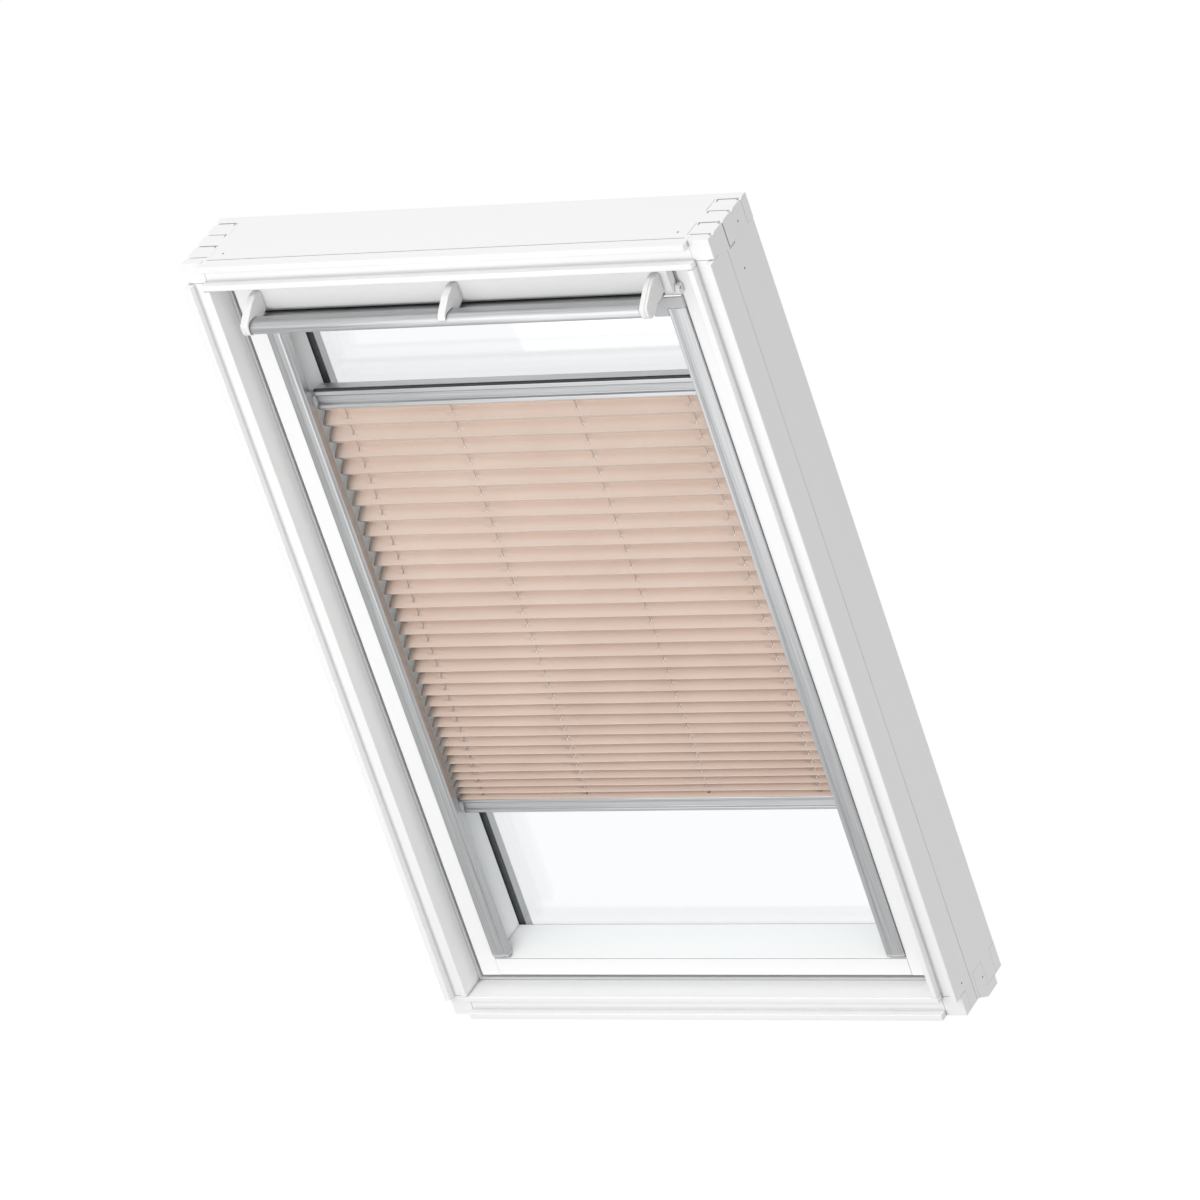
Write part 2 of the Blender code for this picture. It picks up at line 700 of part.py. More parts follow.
def build_frame_pivots():
    """The frame half of each pivot hinge: a plate on the reveal with a bored boss."""
    for side, label in ((-1, "left"), (1, "right")):
        outer = side * (OPEN_HALF - GAP)
        inner = outer - side * PIVOT_PLATE
        plate = box(
            f"pivot_bearing_{label}",
            (min(outer, inner), PIVOT_Y - PIVOT_PLATE_WIDTH / 2, PIVOT_Z - PIVOT_PLATE_HEIGHT / 2),
            (max(outer, inner), PIVOT_Y + PIVOT_PLATE_WIDTH / 2, PIVOT_Z + PIVOT_PLATE_HEIGHT / 2),
            STEEL,
        )
        tip = side * (SASH_HALF + 2 * GAP + PIVOT_PLATE)
        low, high = sorted((tip, side * (OPEN_HALF - PIVOT_PLATE / 2)))
        boss = cylinder(f"boss_{label}", PIVOT_BOSS_R, low, high, (PIVOT_Y, PIVOT_Z), collection=CUTTERS)
        boolean(plate, boss, "UNION")
        low, high = sorted((tip - side * PAST, side * (OPEN_HALF + PAST)))
        bore = cylinder(
            f"bore_{label}", PIVOT_PIN_R + PIVOT_CLEARANCE, low, high, (PIVOT_Y, PIVOT_Z),
            collection=CUTTERS,
        )
        boolean(plate, bore)


def build_striker():
    """The striker on the top reveal: a plate whose lip stands just over the latch."""
    low = SASH_TOP + LATCH_RISE + STRIKER_CLEARANCE
    high = OPEN_TOP - GAP
    lip = PIVOT_Y - LATCH_THICK / 2 - STRIKER_SPACE
    outline = [
        (lip - STRIKER_LIP, low, STRIKER_LIP / 4),
        (lip, low),
        (lip, high - STRIKER_PLATE),
        (PIVOT_Y + STRIKER_REACH, high - STRIKER_PLATE),
        (PIVOT_Y + STRIKER_REACH, high),
        (lip - STRIKER_LIP, high),
    ]
    extruded("lock_striker", outline, -2 * LATCH_HALF, 2 * LATCH_HALF, "X", STEEL)


# Sash


def stile_outline(side, grow=0.0):
    """Section of a stile. With grow it is the cutter that copes a rail's end to it."""
    back = REBATE_Y + grow
    floor = GLASS_HALF + REBATE_CLEARANCE - grow
    outer = SASH_HALF + 10 * grow
    section = [
        (outer, SASH_FACE - 10 * grow, 0 if grow else SASH_ROUND),
        (STILE_INNER - grow, SASH_FACE - 10 * grow, 0 if grow else SASH_ROUND),
        (STILE_INNER - grow, SASH_FACE),
        (LIP_HALF - grow, back),
        (floor, back),
        (floor, SASH_BACK + 10 * grow),
        (outer, SASH_BACK + 10 * grow),
    ]
    if not grow:
        del section[2]
    kept = [point if len(point) == 3 and point[2] else point[:2] for point in section]
    return kept if side > 0 else mirrored(kept)


def rail_outline(outer, edge, lip, floor):
    """Section of a sash rail, as depth and height."""
    return [
        (SASH_FACE, outer, SASH_ROUND),
        (SASH_FACE, edge, SASH_ROUND),
        (REBATE_Y, lip),
        (REBATE_Y, floor),
        (SASH_BACK, floor),
        (SASH_BACK, outer),
    ]


def build_sash():
    pieces = []
    for side, label in ((-1, "left"), (1, "right")):
        pieces.append(extruded(f"sash_{label}", stile_outline(side), SASH_LOW, SASH_TOP, "Z", WHITE))
    low_floor = GLASS_LOW - REBATE_CLEARANCE
    high_floor = GLASS_TOP + REBATE_CLEARANCE
    bottom = extruded(
        "sash_bottom", rail_outline(SASH_LOW, LOW_EDGE, LOW_LIP, low_floor),
        -STILE_INNER - COPE_OVERLAP, STILE_INNER + COPE_OVERLAP, "X", WHITE,
    )
    top = extruded(
        "sash_top", rail_outline(SASH_TOP, HIGH_EDGE, HIGH_LIP, high_floor),
        -STILE_INNER - COPE_OVERLAP, STILE_INNER + COPE_OVERLAP, "X", WHITE,
    )
    for rail in (bottom, top):
        for side, label in ((-1, "left"), (1, "right")):
            cope = extruded(
                f"cope_{rail.name}_{label}", stile_outline(side, GAP), 0, FRAME_HEIGHT, "Z",
                collection=CUTTERS,
            )
            boolean(rail, cope)
    duct_back = SASH_FACE + DUCT_DEPTH
    cut_box(top, "duct", (-DUCT_HALF, SASH_FACE - PAST, DUCT_LOW), (DUCT_HALF, duct_back, DUCT_TOP))
    for side, label in ((-1, "left"), (1, "right")):
        cut_box(
            top,
            f"outlet_{label}",
            (side * (LOCK_HALF + OUTLET_OFFSET), duct_back - DUCT_OUTLET, DUCT_LOW + DUCT_HEIGHT / 2),
            (side * (DUCT_HALF - DUCT_EDGE), duct_back - DUCT_EDGE / 2, SASH_TOP + PAST),
        )
    cut_box(
        top,
        "lock_pocket",
        (-LOCK_HALF - GAP, PIVOT_Y - LOCK_DEPTH / 2 - GAP, SASH_TOP - LOCK_HEIGHT - GAP),
        (LOCK_HALF + GAP, PIVOT_Y + LOCK_DEPTH / 2 + GAP, SASH_TOP + PAST),
    )
    pieces += [bottom, top]
    pieces.append(
        box(
            "filter_strip",
            (-DUCT_HALF + GAP, SASH_FACE + FILTER_FRONT, DUCT_LOW + GAP),
            (DUCT_HALF - GAP, SASH_FACE + FILTER_FRONT + FILTER_THICK, DUCT_TOP - GAP),
            FOAM,
        )
    )
    return pieces


def ring(name, half, low, high, inner_half, inner_low, inner_high, front, back, finish):
    """A rectangular ring in the window's plane, from front to back in depth."""
    made = box(name, (-half, front, low), (half, back, high), finish)
    cut_box(made, "opening", (-inner_half, front - PAST, inner_low), (inner_half, back + PAST, inner_high))
    return made


def build_glass():
    pieces = []
    for name, front in (("inner_pane", PANE_Y), ("outer_pane", PANE_2_Y)):
        pieces.append(
            box(name, (-GLASS_HALF, front, GLASS_LOW), (GLASS_HALF, front + PANE, GLASS_TOP), GLASS)
        )
    front = PANE_Y + PANE + GAP
    back = PANE_2_Y - GAP
    width = SEAL_WIDTH + SPACER_WIDTH
    seal = ring(
        "edge_seal", GLASS_HALF, GLASS_LOW, GLASS_TOP,
        GLASS_HALF - width, GLASS_LOW + width, GLASS_TOP - width, front, back, RUBBER,
    )
    cut_box(
        seal,
        "spacer_seat",
        (-GLASS_HALF + SEAL_WIDTH, front + BUTYL, GLASS_LOW + SEAL_WIDTH),
        (GLASS_HALF - SEAL_WIDTH, back + PAST, GLASS_TOP - SEAL_WIDTH),
    )
    inset = SEAL_WIDTH + GAP
    spacer = ring(
        "spacer_frame", GLASS_HALF - inset, GLASS_LOW + inset, GLASS_TOP - inset,
        GLASS_HALF - width, GLASS_LOW + width, GLASS_TOP - width, front + BUTYL + GAP, back, ALUMINIUM,
    )
    gasket = ring(
        "glazing_gasket", GLASS_HALF - GASKET_LIP, GLASS_LOW + GASKET_LIP, GLASS_TOP - GASKET_LIP,
        LIP_HALF + GASKET_LIP, LOW_LIP - GASKET_LIP, HIGH_LIP + GASKET_LIP, REBATE_Y + GAP, PANE_Y - GAP,
        RUBBER,
    )
    return pieces + [seal, spacer, gasket]


def bead_line(outer, lip):
    """Outer line of a glazing cover's section, from its outer edge to its lip on the glass.

    It is given as (across, depth), where across runs from outer towards lip.
    """
    way = 1 if lip > outer else -1
    front = SASH_BACK + GAP
    back = front + BEAD_HEIGHT
    return [
        (outer, front),
        (outer, back, BEAD_ROUND),
        (lip - way * BEAD_SLOPE, back, BEAD_ROUND),
        (lip, front + BEAD_TOE, BEAD_ROUND / 2),
        (lip, front),
    ]


def build_beads():
    """The aluminium covers that hold the outer pane from outside: sides full height, ends between."""
    pieces = []
    lip_half = GLASS_HALF - BEAD_LAP
    low, high = SASH_LOW + BEAD_INSET, SASH_TOP - BEAD_INSET
    for side, label in ((-1, "left"), (1, "right")):
        line = bead_line(side * (SASH_HALF - BEAD_INSET), side * lip_half)
        outline = wall_outline(line, side * BEAD_WALL)
        pieces.append(extruded(f"glazing_cover_{label}", outline, low, high, "Z", CLADDING))
    ends = (("bottom", low, GLASS_LOW + BEAD_LAP, 1), ("top", high, GLASS_TOP - BEAD_LAP, -1))
    for label, outer, lip, turn in ends:
        line = [(point[1], point[0], *point[2:]) for point in bead_line(outer, lip)]
        outline = wall_outline(line, turn * BEAD_WALL)
        reach = lip_half - GAP
        pieces.append(extruded(f"glazing_cover_{label}", outline, -reach, reach, "X", CLADDING))
    return pieces


def build_pivot_arms():
    """The sash half of each pivot hinge: a plate on the stile's edge with its pin."""
    pieces = []
    for side, label in ((-1, "left"), (1, "right")):
        inner = side * (SASH_HALF + GAP)
        outer = inner + side * PIVOT_PLATE
        low, high = sorted((inner, outer))
        plate = box(
            f"pivot_arm_{label}",
            (low, PIVOT_Y - PIVOT_PLATE_WIDTH / 2, PIVOT_Z - PIVOT_PLATE_HEIGHT / 2),
            (high, PIVOT_Y + PIVOT_PLATE_WIDTH / 2, PIVOT_Z + PIVOT_PLATE_HEIGHT / 2),
            STEEL,
        )
        low, high = sorted((side * (SASH_HALF + PIVOT_PLATE / 2), side * (OPEN_HALF - 2 * GAP)))
        pin = cylinder(f"pin_{label}", PIVOT_PIN_R, low, high, (PIVOT_Y, PIVOT_Z), collection=CUTTERS)
        boolean(plate, pin, "UNION")
        pieces.append(plate)
    return pieces


def build_lock():
    """The lock's case, let into the sash's top edge, with a slot for its latch."""
    case = box(
        "lock_case",
        (-LOCK_HALF, PIVOT_Y - LOCK_DEPTH / 2, SASH_TOP - LOCK_HEIGHT),
        (LOCK_HALF, PIVOT_Y + LOCK_DEPTH / 2, SASH_TOP),
        STEEL,
    )
    slot = LATCH_HALF + GAP
    cut_box(
        case,
        "slot",
        (-slot, PIVOT_Y - SLOT_FRONT, LATCH_AXIS_Z - SLOT_FOOT),
        (slot, PIVOT_Y + SLOT_BACK, SASH_TOP + PAST),
    )
    trunnion = LATCH_HALF + TRUNNION_LENGTH + 2 * GAP
    boolean(
        case,
        cylinder("trunnion_bore", TRUNNION_R + GAP, -trunnion, trunnion, (PIVOT_Y, LATCH_AXIS_Z),
                 collection=CUTTERS),
    )
    return case


def build_latch():
    half = LATCH_THICK / 2
    edge = LATCH_THICK / 3
    outline = [
        (PIVOT_Y - half, LATCH_AXIS_Z - LATCH_FOOT, edge),
        (PIVOT_Y + half, LATCH_AXIS_Z - LATCH_FOOT, edge),
        (PIVOT_Y + half, SASH_TOP + LATCH_RISE, edge / 2),
        (PIVOT_Y - half, SASH_TOP + LATCH_RISE, edge / 2),
    ]
    latch = extruded("lock_latch", outline, -LATCH_HALF, LATCH_HALF, "X", STEEL)
    reach = LATCH_HALF + TRUNNION_LENGTH
    boolean(
        latch,
        cylinder("trunnion", TRUNNION_R, -reach, reach, (PIVOT_Y, LATCH_AXIS_Z), collection=CUTTERS),
        "UNION",
    )
    return latch


# Ventilation flap and control bar


def build_flap():
    edge = FLAP_ROUND / 4
    outline = [
        (FLAP_FRONT, FLAP_TOP, edge),
        (FLAP_FRONT, FLAP_LOW, FLAP_ROUND),
        (FLAP_BACK, FLAP_LOW, edge),
        (FLAP_BACK, FLAP_TOP, edge / 2),
    ]
    flap = extruded("vent_flap", outline, -FLAP_HALF, FLAP_HALF, "X", WHITE)
    reach = DUCT_HALF + FLAP_GASKET_OVERHANG
    gasket_low = DUCT_TOP + FLAP_GASKET_RISE
    gasket = box(
        "flap_gasket",
        (-reach, FLAP_BACK + GAP, gasket_low),
        (reach, SASH_FACE - GAP, gasket_low + FLAP_GASKET_HEIGHT),
        RUBBER,
    )
    pieces = [flap, gasket]
    centre = (FLAP_HINGE_Y, FLAP_HINGE_Z)
    for side, label in ((-1, "left"), (1, "right")):
        tip = side * (FLAP_HALF + BEARING_WIDTH - HINGE_PIN_RECESS)
        root = tip - side * HINGE_PIN_LENGTH
        low, high = sorted((root, tip))
        socket = cylinder(f"socket_{label}", HINGE_PIN_R + GAP, low - PAST, high + PAST, centre,
                          collection=CUTTERS)
        boolean(flap, socket)
        pieces.append(cylinder(f"hinge_pin_{label}", HINGE_PIN_R, low, high, centre, STEEL))
    return pieces


def build_bearings():
    """The small white blocks on the sash face in which the flap's pins turn."""
    pieces = []
    face = SASH_FACE - GAP
    front = FLAP_HINGE_Y - BEARING_R
    for side, label in ((-1, "left"), (1, "right")):
        low, high = sorted((side * (FLAP_HALF + GAP), side * (FLAP_HALF + GAP + BEARING_WIDTH)))
        outline = [
            (front, FLAP_HINGE_Z - BEARING_R - BEARING_FOOT, BEARING_FOOT),
            (face, FLAP_HINGE_Z - BEARING_R - BEARING_FOOT),
            (face, FLAP_HINGE_Z + BEARING_R),
            (front, FLAP_HINGE_Z + BEARING_R, 0.8 * BEARING_R),
        ]
        block = extruded(f"flap_bearing_{label}", outline, low, high, "X", WHITE_PLASTIC)
        bore = cylinder(f"flap_bore_{label}", HINGE_PIN_R + GAP, low - PAST, high + PAST,
                        (FLAP_HINGE_Y, FLAP_HINGE_Z), collection=CUTTERS)
        boolean(block, bore)
        pieces.append(block)
    return pieces


def grip_outline():
    """Section of the grip and of the wing that runs back from it under the flap."""
    wing_top = FLAP_LOW - GAP
    wing_low = wing_top - WING
    depth = GRIP_BACK - GRIP_FRONT
    return [
        (GRIP_BACK, GRIP_TOP - 0.0010, 0.0015),
        (GRIP_FRONT + 0.0010, GRIP_TOP, 0.9 * GRIP_ROUND),
        (GRIP_FRONT, GRIP_LOW, GRIP_ROUND),
        (GRIP_FRONT + 0.6 * depth, GRIP_LOW - 0.0002, 0.6 * GRIP_ROUND),
        (GRIP_BACK + 0.25 * depth, wing_low - 0.0008, GRIP_ROUND),
        (WING_END, wing_low, WING / 3),
        (WING_END, wing_top, WING / 3),
        (GRIP_BACK + 0.4 * depth, wing_top - 0.0003, GRIP_ROUND),
        (GRIP_BACK, wing_top + WING, WING),
    ]


def build_grip():
    """The bar, whose ends run into the end brackets, and the plates that close the brackets."""
    bar = extruded("control_bar", grip_outline(), -BRACKET_OUTER, BRACKET_OUTER, "X", ALUMINIUM)
    smooth(bar)
    pieces = [bar]
    for side, label in ((-1, "left"), (1, "right")):
        ends = sorted((side * (BRACKET_OUTER + GAP), side * BAR_OUTER))
        pieces.append(extruded(f"bar_end_cap_{label}", end_bracket_outline(), *ends, "X", WHITE_PLASTIC))
    return pieces


def bracket_crown():
    """The swung front edge that all three brackets have, from the flap's face down to the grip."""
    web = FLAP_FRONT - GAP
    return [
        (web, BRACKET_TOP, 0.0015),
        (web - 0.013, BRACKET_TOP, 0.008),
        (GRIP_BACK + 0.001, BRACKET_TOP - 0.005, 0.012),
        (GRIP_BACK - 0.011, GRIP_TOP + 0.008, 0.012),
        (GRIP_FRONT + 0.002, GRIP_TOP + BRACKET_RIM, 0.006),
    ]


def bracket_foot():
    """The lower edge of a bracket, just over the wing, back to the flap's face."""
    web = FLAP_FRONT - GAP
    return [
        (GRIP_BACK + 0.004, FLAP_LOW + 0.0018, 0.002),
        (web - 0.010, FLAP_LOW + 0.0022, 0.002),
        (web, FLAP_LOW + 0.006),
    ]


def bracket_outline():
    """Side view of the middle bracket, which ends on the grip's front."""
    lip = GRIP_TOP - 0.006
    tip = [(GRIP_FRONT - BRACKET_RIM, lip, BRACKET_RIM / 2), (GRIP_BACK - 0.002, lip)]
    return bracket_crown() + tip + bracket_foot()


def end_bracket_outline():
    """Side view of an end bracket, which goes right round the grip."""
    low = GRIP_LOW - BRACKET_RIM
    round_grip = [
        (GRIP_FRONT - BRACKET_RIM, GRIP_TOP - 0.002, 0.003),
        (GRIP_FRONT - BRACKET_RIM, low, GRIP_ROUND + BRACKET_RIM),
        (GRIP_FRONT + 0.014, low, 0.003),
        (GRIP_BACK - 0.006, FLAP_LOW - 0.004),
    ]
    return bracket_crown() + round_grip + bracket_foot()


def build_brackets():
    pieces = []
    end_middle = BRACKET_OUTER - BRACKET_WIDTH / 2
    rows = (
        ("left", -end_middle, BRACKET_WIDTH, end_bracket_outline()),
        ("middle", 0.0, MIDDLE_BRACKET_WIDTH, bracket_outline()),
        ("right", end_middle, BRACKET_WIDTH, end_bracket_outline()),
    )
    clear = [tuple(p) for p in offset(rounded(grip_outline()), -GAP, closed=True)]
    for label, middle, width, outline in rows:
        low, high = middle - width / 2, middle + width / 2
        ear = extruded(f"bar_bracket_{label}", outline, low, high, "X", WHITE_PLASTIC)
        seat = extruded(f"seat_{label}", clear, low - PAST, high + PAST, "X", collection=CUTTERS)
        boolean(ear, seat)
        pieces.append(ear)
    return pieces


# Blind


def bevel_x(depth):
    """Distance of the stile's bevelled face from the middle, at a depth."""
    share = (depth - SASH_FACE) / BEVEL_DEPTH
    return STILE_INNER - BEVEL_RUN * share


def side_rail_outline():
    """Section of a side rail: a crowned front with a flute, and two legs that run back."""
    back_outer = bevel_x(RAIL_BACK) - GAP
    front = [
        (back_outer, RAIL_BACK),
        (RAIL_OUTER, SASH_FACE),
        (RAIL_OUTER, RAIL_FRONT + 0.0012, 0.0012),
        (RAIL_OUTER - 0.011, RAIL_FRONT, 0.006),
        (RAIL_INNER + 0.0085, RAIL_FRONT + 0.0004, 0.002),
        (RAIL_INNER + 0.0062, RAIL_FRONT + 0.0014, 0.001),
        (RAIL_INNER + 0.0040, RAIL_FRONT + 0.0002, 0.001),
        (RAIL_INNER, RAIL_FRONT, 0.0006),
        (RAIL_INNER, RAIL_BACK),
    ]
    inner_front = RAIL_FRONT + 0.0014 + RAIL_WALL
    return front + [
        (RAIL_INNER + RAIL_WALL, RAIL_BACK),
        (RAIL_INNER + RAIL_WALL, inner_front),
        (RAIL_OUTER - RAIL_WALL, inner_front),
        (back_outer - RAIL_WALL, RAIL_BACK),
    ]


def corner_bracket_outline():
    """Section of a corner bracket: a front plate, and a leg that runs back on the stile's bevel."""
    knee = RAIL_FRONT + CORNER_PLATE
    return [
        (CORNER_INNER, RAIL_FRONT, SLIDER_ROUND),
        (RAIL_OUTER, RAIL_FRONT, SLIDER_ROUND),
        (RAIL_OUTER, SASH_FACE),
        (bevel_x(CORNER_BACK) - GAP, CORNER_BACK),
        (bevel_x(CORNER_BACK) - GAP - CORNER_PLATE, CORNER_BACK),
        (bevel_x(knee) - GAP - CORNER_PLATE, knee),
        (CORNER_INNER, knee),
    ]


def build_side_rails():
    pieces = []
    for side, label in ((-1, "left"), (1, "right")):
        section, bracket = side_rail_outline(), corner_bracket_outline()
        if side < 0:
            section, bracket = mirrored(section), mirrored(bracket)
        rail = extruded(f"side_rail_{label}", section, RAIL_LOW, RAIL_TOP, "Z", ALUMINIUM)
        smooth(rail)
        pieces.append(rail)
        cap_top = RAIL_LOW - GAP
        pieces.append(
            extruded(f"rail_cap_{label}", section[:9], cap_top - RAIL_CAP, cap_top, "Z", GREY_PLASTIC)
        )
        plate = extruded(f"blind_bracket_{label}", bracket, CORNER_LOW, CORNER_TOP, "Z", GREY_PLASTIC)
        scribe = extruded(
            f"scribe_{label}", top_rail_clearance(), -HALF_WIDTH, HALF_WIDTH, "X", collection=CUTTERS
        )
        boolean(plate, scribe)
        cut_box(
            plate,
            "rail_space",
            (side * (RAIL_INNER - GAP), RAIL_FRONT - PAST, CORNER_LOW - PAST),
            (side * (RAIL_OUTER + PAST), RAIL_BACK + GAP, RAIL_TOP + GAP),
        )
        pieces.append(plate)
    return pieces


def top_rail_clearance():
    """The top sash rail's front and bevelled underside, drawn a clearance larger."""
    above = SASH_TOP + SASH_GAP
    return [
        (SASH_FACE - GAP, above),
        (SASH_FACE - GAP, HIGH_EDGE - 1.5 * GAP),
        (REBATE_Y, HIGH_LIP - 1.5 * GAP),
        (SASH_BACK, HIGH_LIP - 1.5 * GAP),
        (SASH_BACK, above),
    ]


def slider_line(low, high, flip):
    """Outer line of a sliding rail's section, from its back at one edge round the stepped front.

    The broad finger lip is at the far edge from the fabric: at the top, or with flip at the bottom.
    """
    def at(share):
        return high - share * (high - low) if not flip else low + share * (high - low)

    steps = ((0, 0.0), (0, 0.22), (0.0026, 0.30), (0.0036, 0.72), (0.0008, 0.80), (0.0004, 1.0))
    front = [(SLIDER_FRONT + inset, at(share), SLIDER_ROUND) for inset, share in steps]
    return [(SLIDER_BACK, at(0.0))] + front + [(SLIDER_BACK - 2 * SLIDER_WALL, at(1.0))]


def glide(name, low, side):
    """The plastic end of a sliding rail, with a tongue that runs in the side rail's channel."""
    back = SLIDER_BACK - GLIDE_DEPTH
    tongue_front = RAIL_FRONT + RAIL_WALL + GLIDE_TONGUE
    tongue_inner = RAIL_INNER + RAIL_WALL + 2.5 * GLIDE_CLEARANCE
    outline = [
        (SLIDER_HALF + GAP, back),
        (SLIDER_HALF + GAP, RAIL_BACK + GLIDE_CLEARANCE),
        (tongue_inner, RAIL_BACK + GLIDE_CLEARANCE),
        (tongue_inner, tongue_front, SLIDER_ROUND),
        (RAIL_OUTER - GLIDE_DEPTH, tongue_front, SLIDER_ROUND),
        (bevel_x(back) - GLIDE_CLEARANCE, back, SLIDER_ROUND),
    ]
    outline = outline if side > 0 else mirrored(outline)
    return extruded(name, outline, low, low + GLIDE_LENGTH, "Z", GREY_PLASTIC)


def build_sliders():
    groups = {}
    rows = (
        ("top", TOP_SLIDER_LOW, TOP_SLIDER_TOP, False),
        ("bottom", BOTTOM_SLIDER_LOW, BOTTOM_SLIDER_TOP, True),
    )
    for label, low, high, flip in rows:
        line = slider_line(low, high, flip)
        outline = wall_outline(line, -SLIDER_WALL if flip else SLIDER_WALL)
        rail = extruded(f"blind_{label}_rail", outline, -SLIDER_HALF, SLIDER_HALF, "X", ALUMINIUM)
        smooth(rail)
        middle = (low + high) / 2
        groups[label] = [rail] + [
            glide(f"{label}_glide_{word}", middle - GLIDE_LENGTH / 2, side)
            for side, word in ((-1, "left"), (1, "right"))
        ]
    groups["top"].append(
        box(
            "top_brush",
            (-SLIDER_HALF, SLIDER_FRONT + BRUSH_INSET, TOP_SLIDER_TOP + GAP),
            (SLIDER_HALF, SLIDER_FRONT + BRUSH_INSET + BRUSH_DEPTH, TOP_SLIDER_TOP + GAP + BRUSH),
            RUBBER,
        )
    )
    return groups


def pleat_heights():
    """Heights of the pleats' valleys, from the top down; the pleats close up towards the bottom."""
    high = TOP_SLIDER_LOW - GAP
    low = BOTTOM_SLIDER_TOP + GAP
    shares = [1 - PLEAT_TAPER * (i / (PLEATS - 1)) ** PLEAT_CURVE for i in range(PLEATS)]
    scale = (high - low) / sum(shares)
    heights = [high]
    for share in shares:
        heights.append(heights[-1] - share * scale)
    heights[-1] = low
    return heights


def build_fabric():
    """The fabric as one folded sheet: each pleat is two equal facets, so a wide pleat is flatter."""
    heights = pleat_heights()
    line = []
    for upper, lower in zip(heights, heights[1:]):
        depth = math.sqrt(FACET ** 2 - ((upper - lower) / 2) ** 2) / 2
        line.append((FABRIC_Y + depth, upper))
        line.append((FABRIC_Y - depth, (upper + lower) / 2))
    line.append((FABRIC_Y + depth, heights[-1]))
    shape = bmesh.new()
    rows = [
        [shape.verts.new((x, y, z)) for x in (-FABRIC_HALF, FABRIC_HALF)]
        for y, z in line
    ]
    for first, second in zip(rows, rows[1:]):
        shape.faces.new((first[0], first[1], second[1], second[0]))
    bmesh.ops.recalc_face_normals(shape, faces=shape.faces)
    middle = Vector((0, FABRIC_Y, (heights[0] + heights[-1]) / 2))
    bmesh.ops.translate(shape, vec=-middle, verts=shape.verts)
    sheet = finished("pleated_fabric", shape, middle, FABRIC, None)
    thick = sheet.modifiers.new("thickness", "SOLIDIFY")
    thick.thickness = FABRIC_THICK
    thick.offset = 0
    return sheet


def main():
    build_frame()
    build_frame_pivots()
    build_striker()
    sash = build_sash() + build_glass() + build_beads() + build_pivot_arms()
    sash += [build_lock(), build_fabric()]
    sash += build_bearings() + build_side_rails()
    vent = build_flap() + build_grip() + build_brackets()
    latch = build_latch()
    sliders = build_sliders()

    pivot = joint_empty("sash_pivot", (0, PIVOT_Y, PIVOT_Z))
    hinge = joint_empty("vent_hinge", (0, FLAP_HINGE_Y, FLAP_HINGE_Z))
    cam = joint_empty("latch_axis", (0, PIVOT_Y, LATCH_AXIS_Z))
    upper = joint_empty("top_rail_slide", (0, FABRIC_Y, TOP_SLIDER_LOW))
    lower = joint_empty("bottom_rail_slide", (0, FABRIC_Y, BOTTOM_SLIDER_LOW))
    parent_to(pivot, sash + [hinge, cam, upper, lower])
    bpy.context.view_layer.update()
    parent_to(hinge, vent)
    parent_to(cam, [latch])
    parent_to(upper, sliders["top"])
    parent_to(lower, sliders["bottom"])


main()
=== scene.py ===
# %% [markdown]
# # A roof window with its pleated blind
# This lesson dresses a finished construction model. The model gives every member, rail and hinge its
# true size and place. Here the surfaces get their finish, the edges are eased, and the blind gets
# its cloth. Every length is in metres, with X to the right as seen from the room, Y towards the
# outside and Z up the slope of the roof.

# %% Load the construction model
import json
import math

import bmesh
import bpy
import numpy as np
from mathutils import Matrix, Vector, noise

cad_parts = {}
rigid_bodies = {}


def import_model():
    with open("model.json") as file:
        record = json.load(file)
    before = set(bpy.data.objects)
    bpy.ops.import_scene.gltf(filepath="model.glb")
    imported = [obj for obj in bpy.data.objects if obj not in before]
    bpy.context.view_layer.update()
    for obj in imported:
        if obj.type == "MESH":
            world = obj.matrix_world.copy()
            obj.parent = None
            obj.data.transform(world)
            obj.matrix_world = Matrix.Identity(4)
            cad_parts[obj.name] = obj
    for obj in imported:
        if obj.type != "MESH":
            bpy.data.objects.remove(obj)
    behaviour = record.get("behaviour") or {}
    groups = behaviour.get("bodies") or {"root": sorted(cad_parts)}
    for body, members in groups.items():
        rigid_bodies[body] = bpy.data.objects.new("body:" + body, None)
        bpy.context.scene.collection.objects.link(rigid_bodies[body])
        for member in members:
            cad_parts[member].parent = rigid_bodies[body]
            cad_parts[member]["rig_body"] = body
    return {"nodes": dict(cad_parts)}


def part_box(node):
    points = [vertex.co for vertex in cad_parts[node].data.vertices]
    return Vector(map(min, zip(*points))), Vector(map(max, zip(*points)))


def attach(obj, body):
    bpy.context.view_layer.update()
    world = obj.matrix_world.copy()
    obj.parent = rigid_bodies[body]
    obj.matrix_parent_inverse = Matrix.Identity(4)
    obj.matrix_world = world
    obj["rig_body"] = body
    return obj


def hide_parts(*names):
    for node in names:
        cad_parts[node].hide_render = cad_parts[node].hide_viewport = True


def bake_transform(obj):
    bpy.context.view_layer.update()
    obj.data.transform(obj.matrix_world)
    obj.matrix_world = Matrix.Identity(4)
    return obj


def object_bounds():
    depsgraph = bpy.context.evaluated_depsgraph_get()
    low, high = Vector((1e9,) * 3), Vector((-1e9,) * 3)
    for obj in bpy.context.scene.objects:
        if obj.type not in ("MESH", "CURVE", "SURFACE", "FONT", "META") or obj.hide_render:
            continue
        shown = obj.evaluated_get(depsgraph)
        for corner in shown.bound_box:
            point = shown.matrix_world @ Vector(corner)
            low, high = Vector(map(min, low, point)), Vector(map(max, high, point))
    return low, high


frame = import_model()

cad_low, cad_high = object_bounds()
print("pieces in the model:", len(frame["nodes"]))

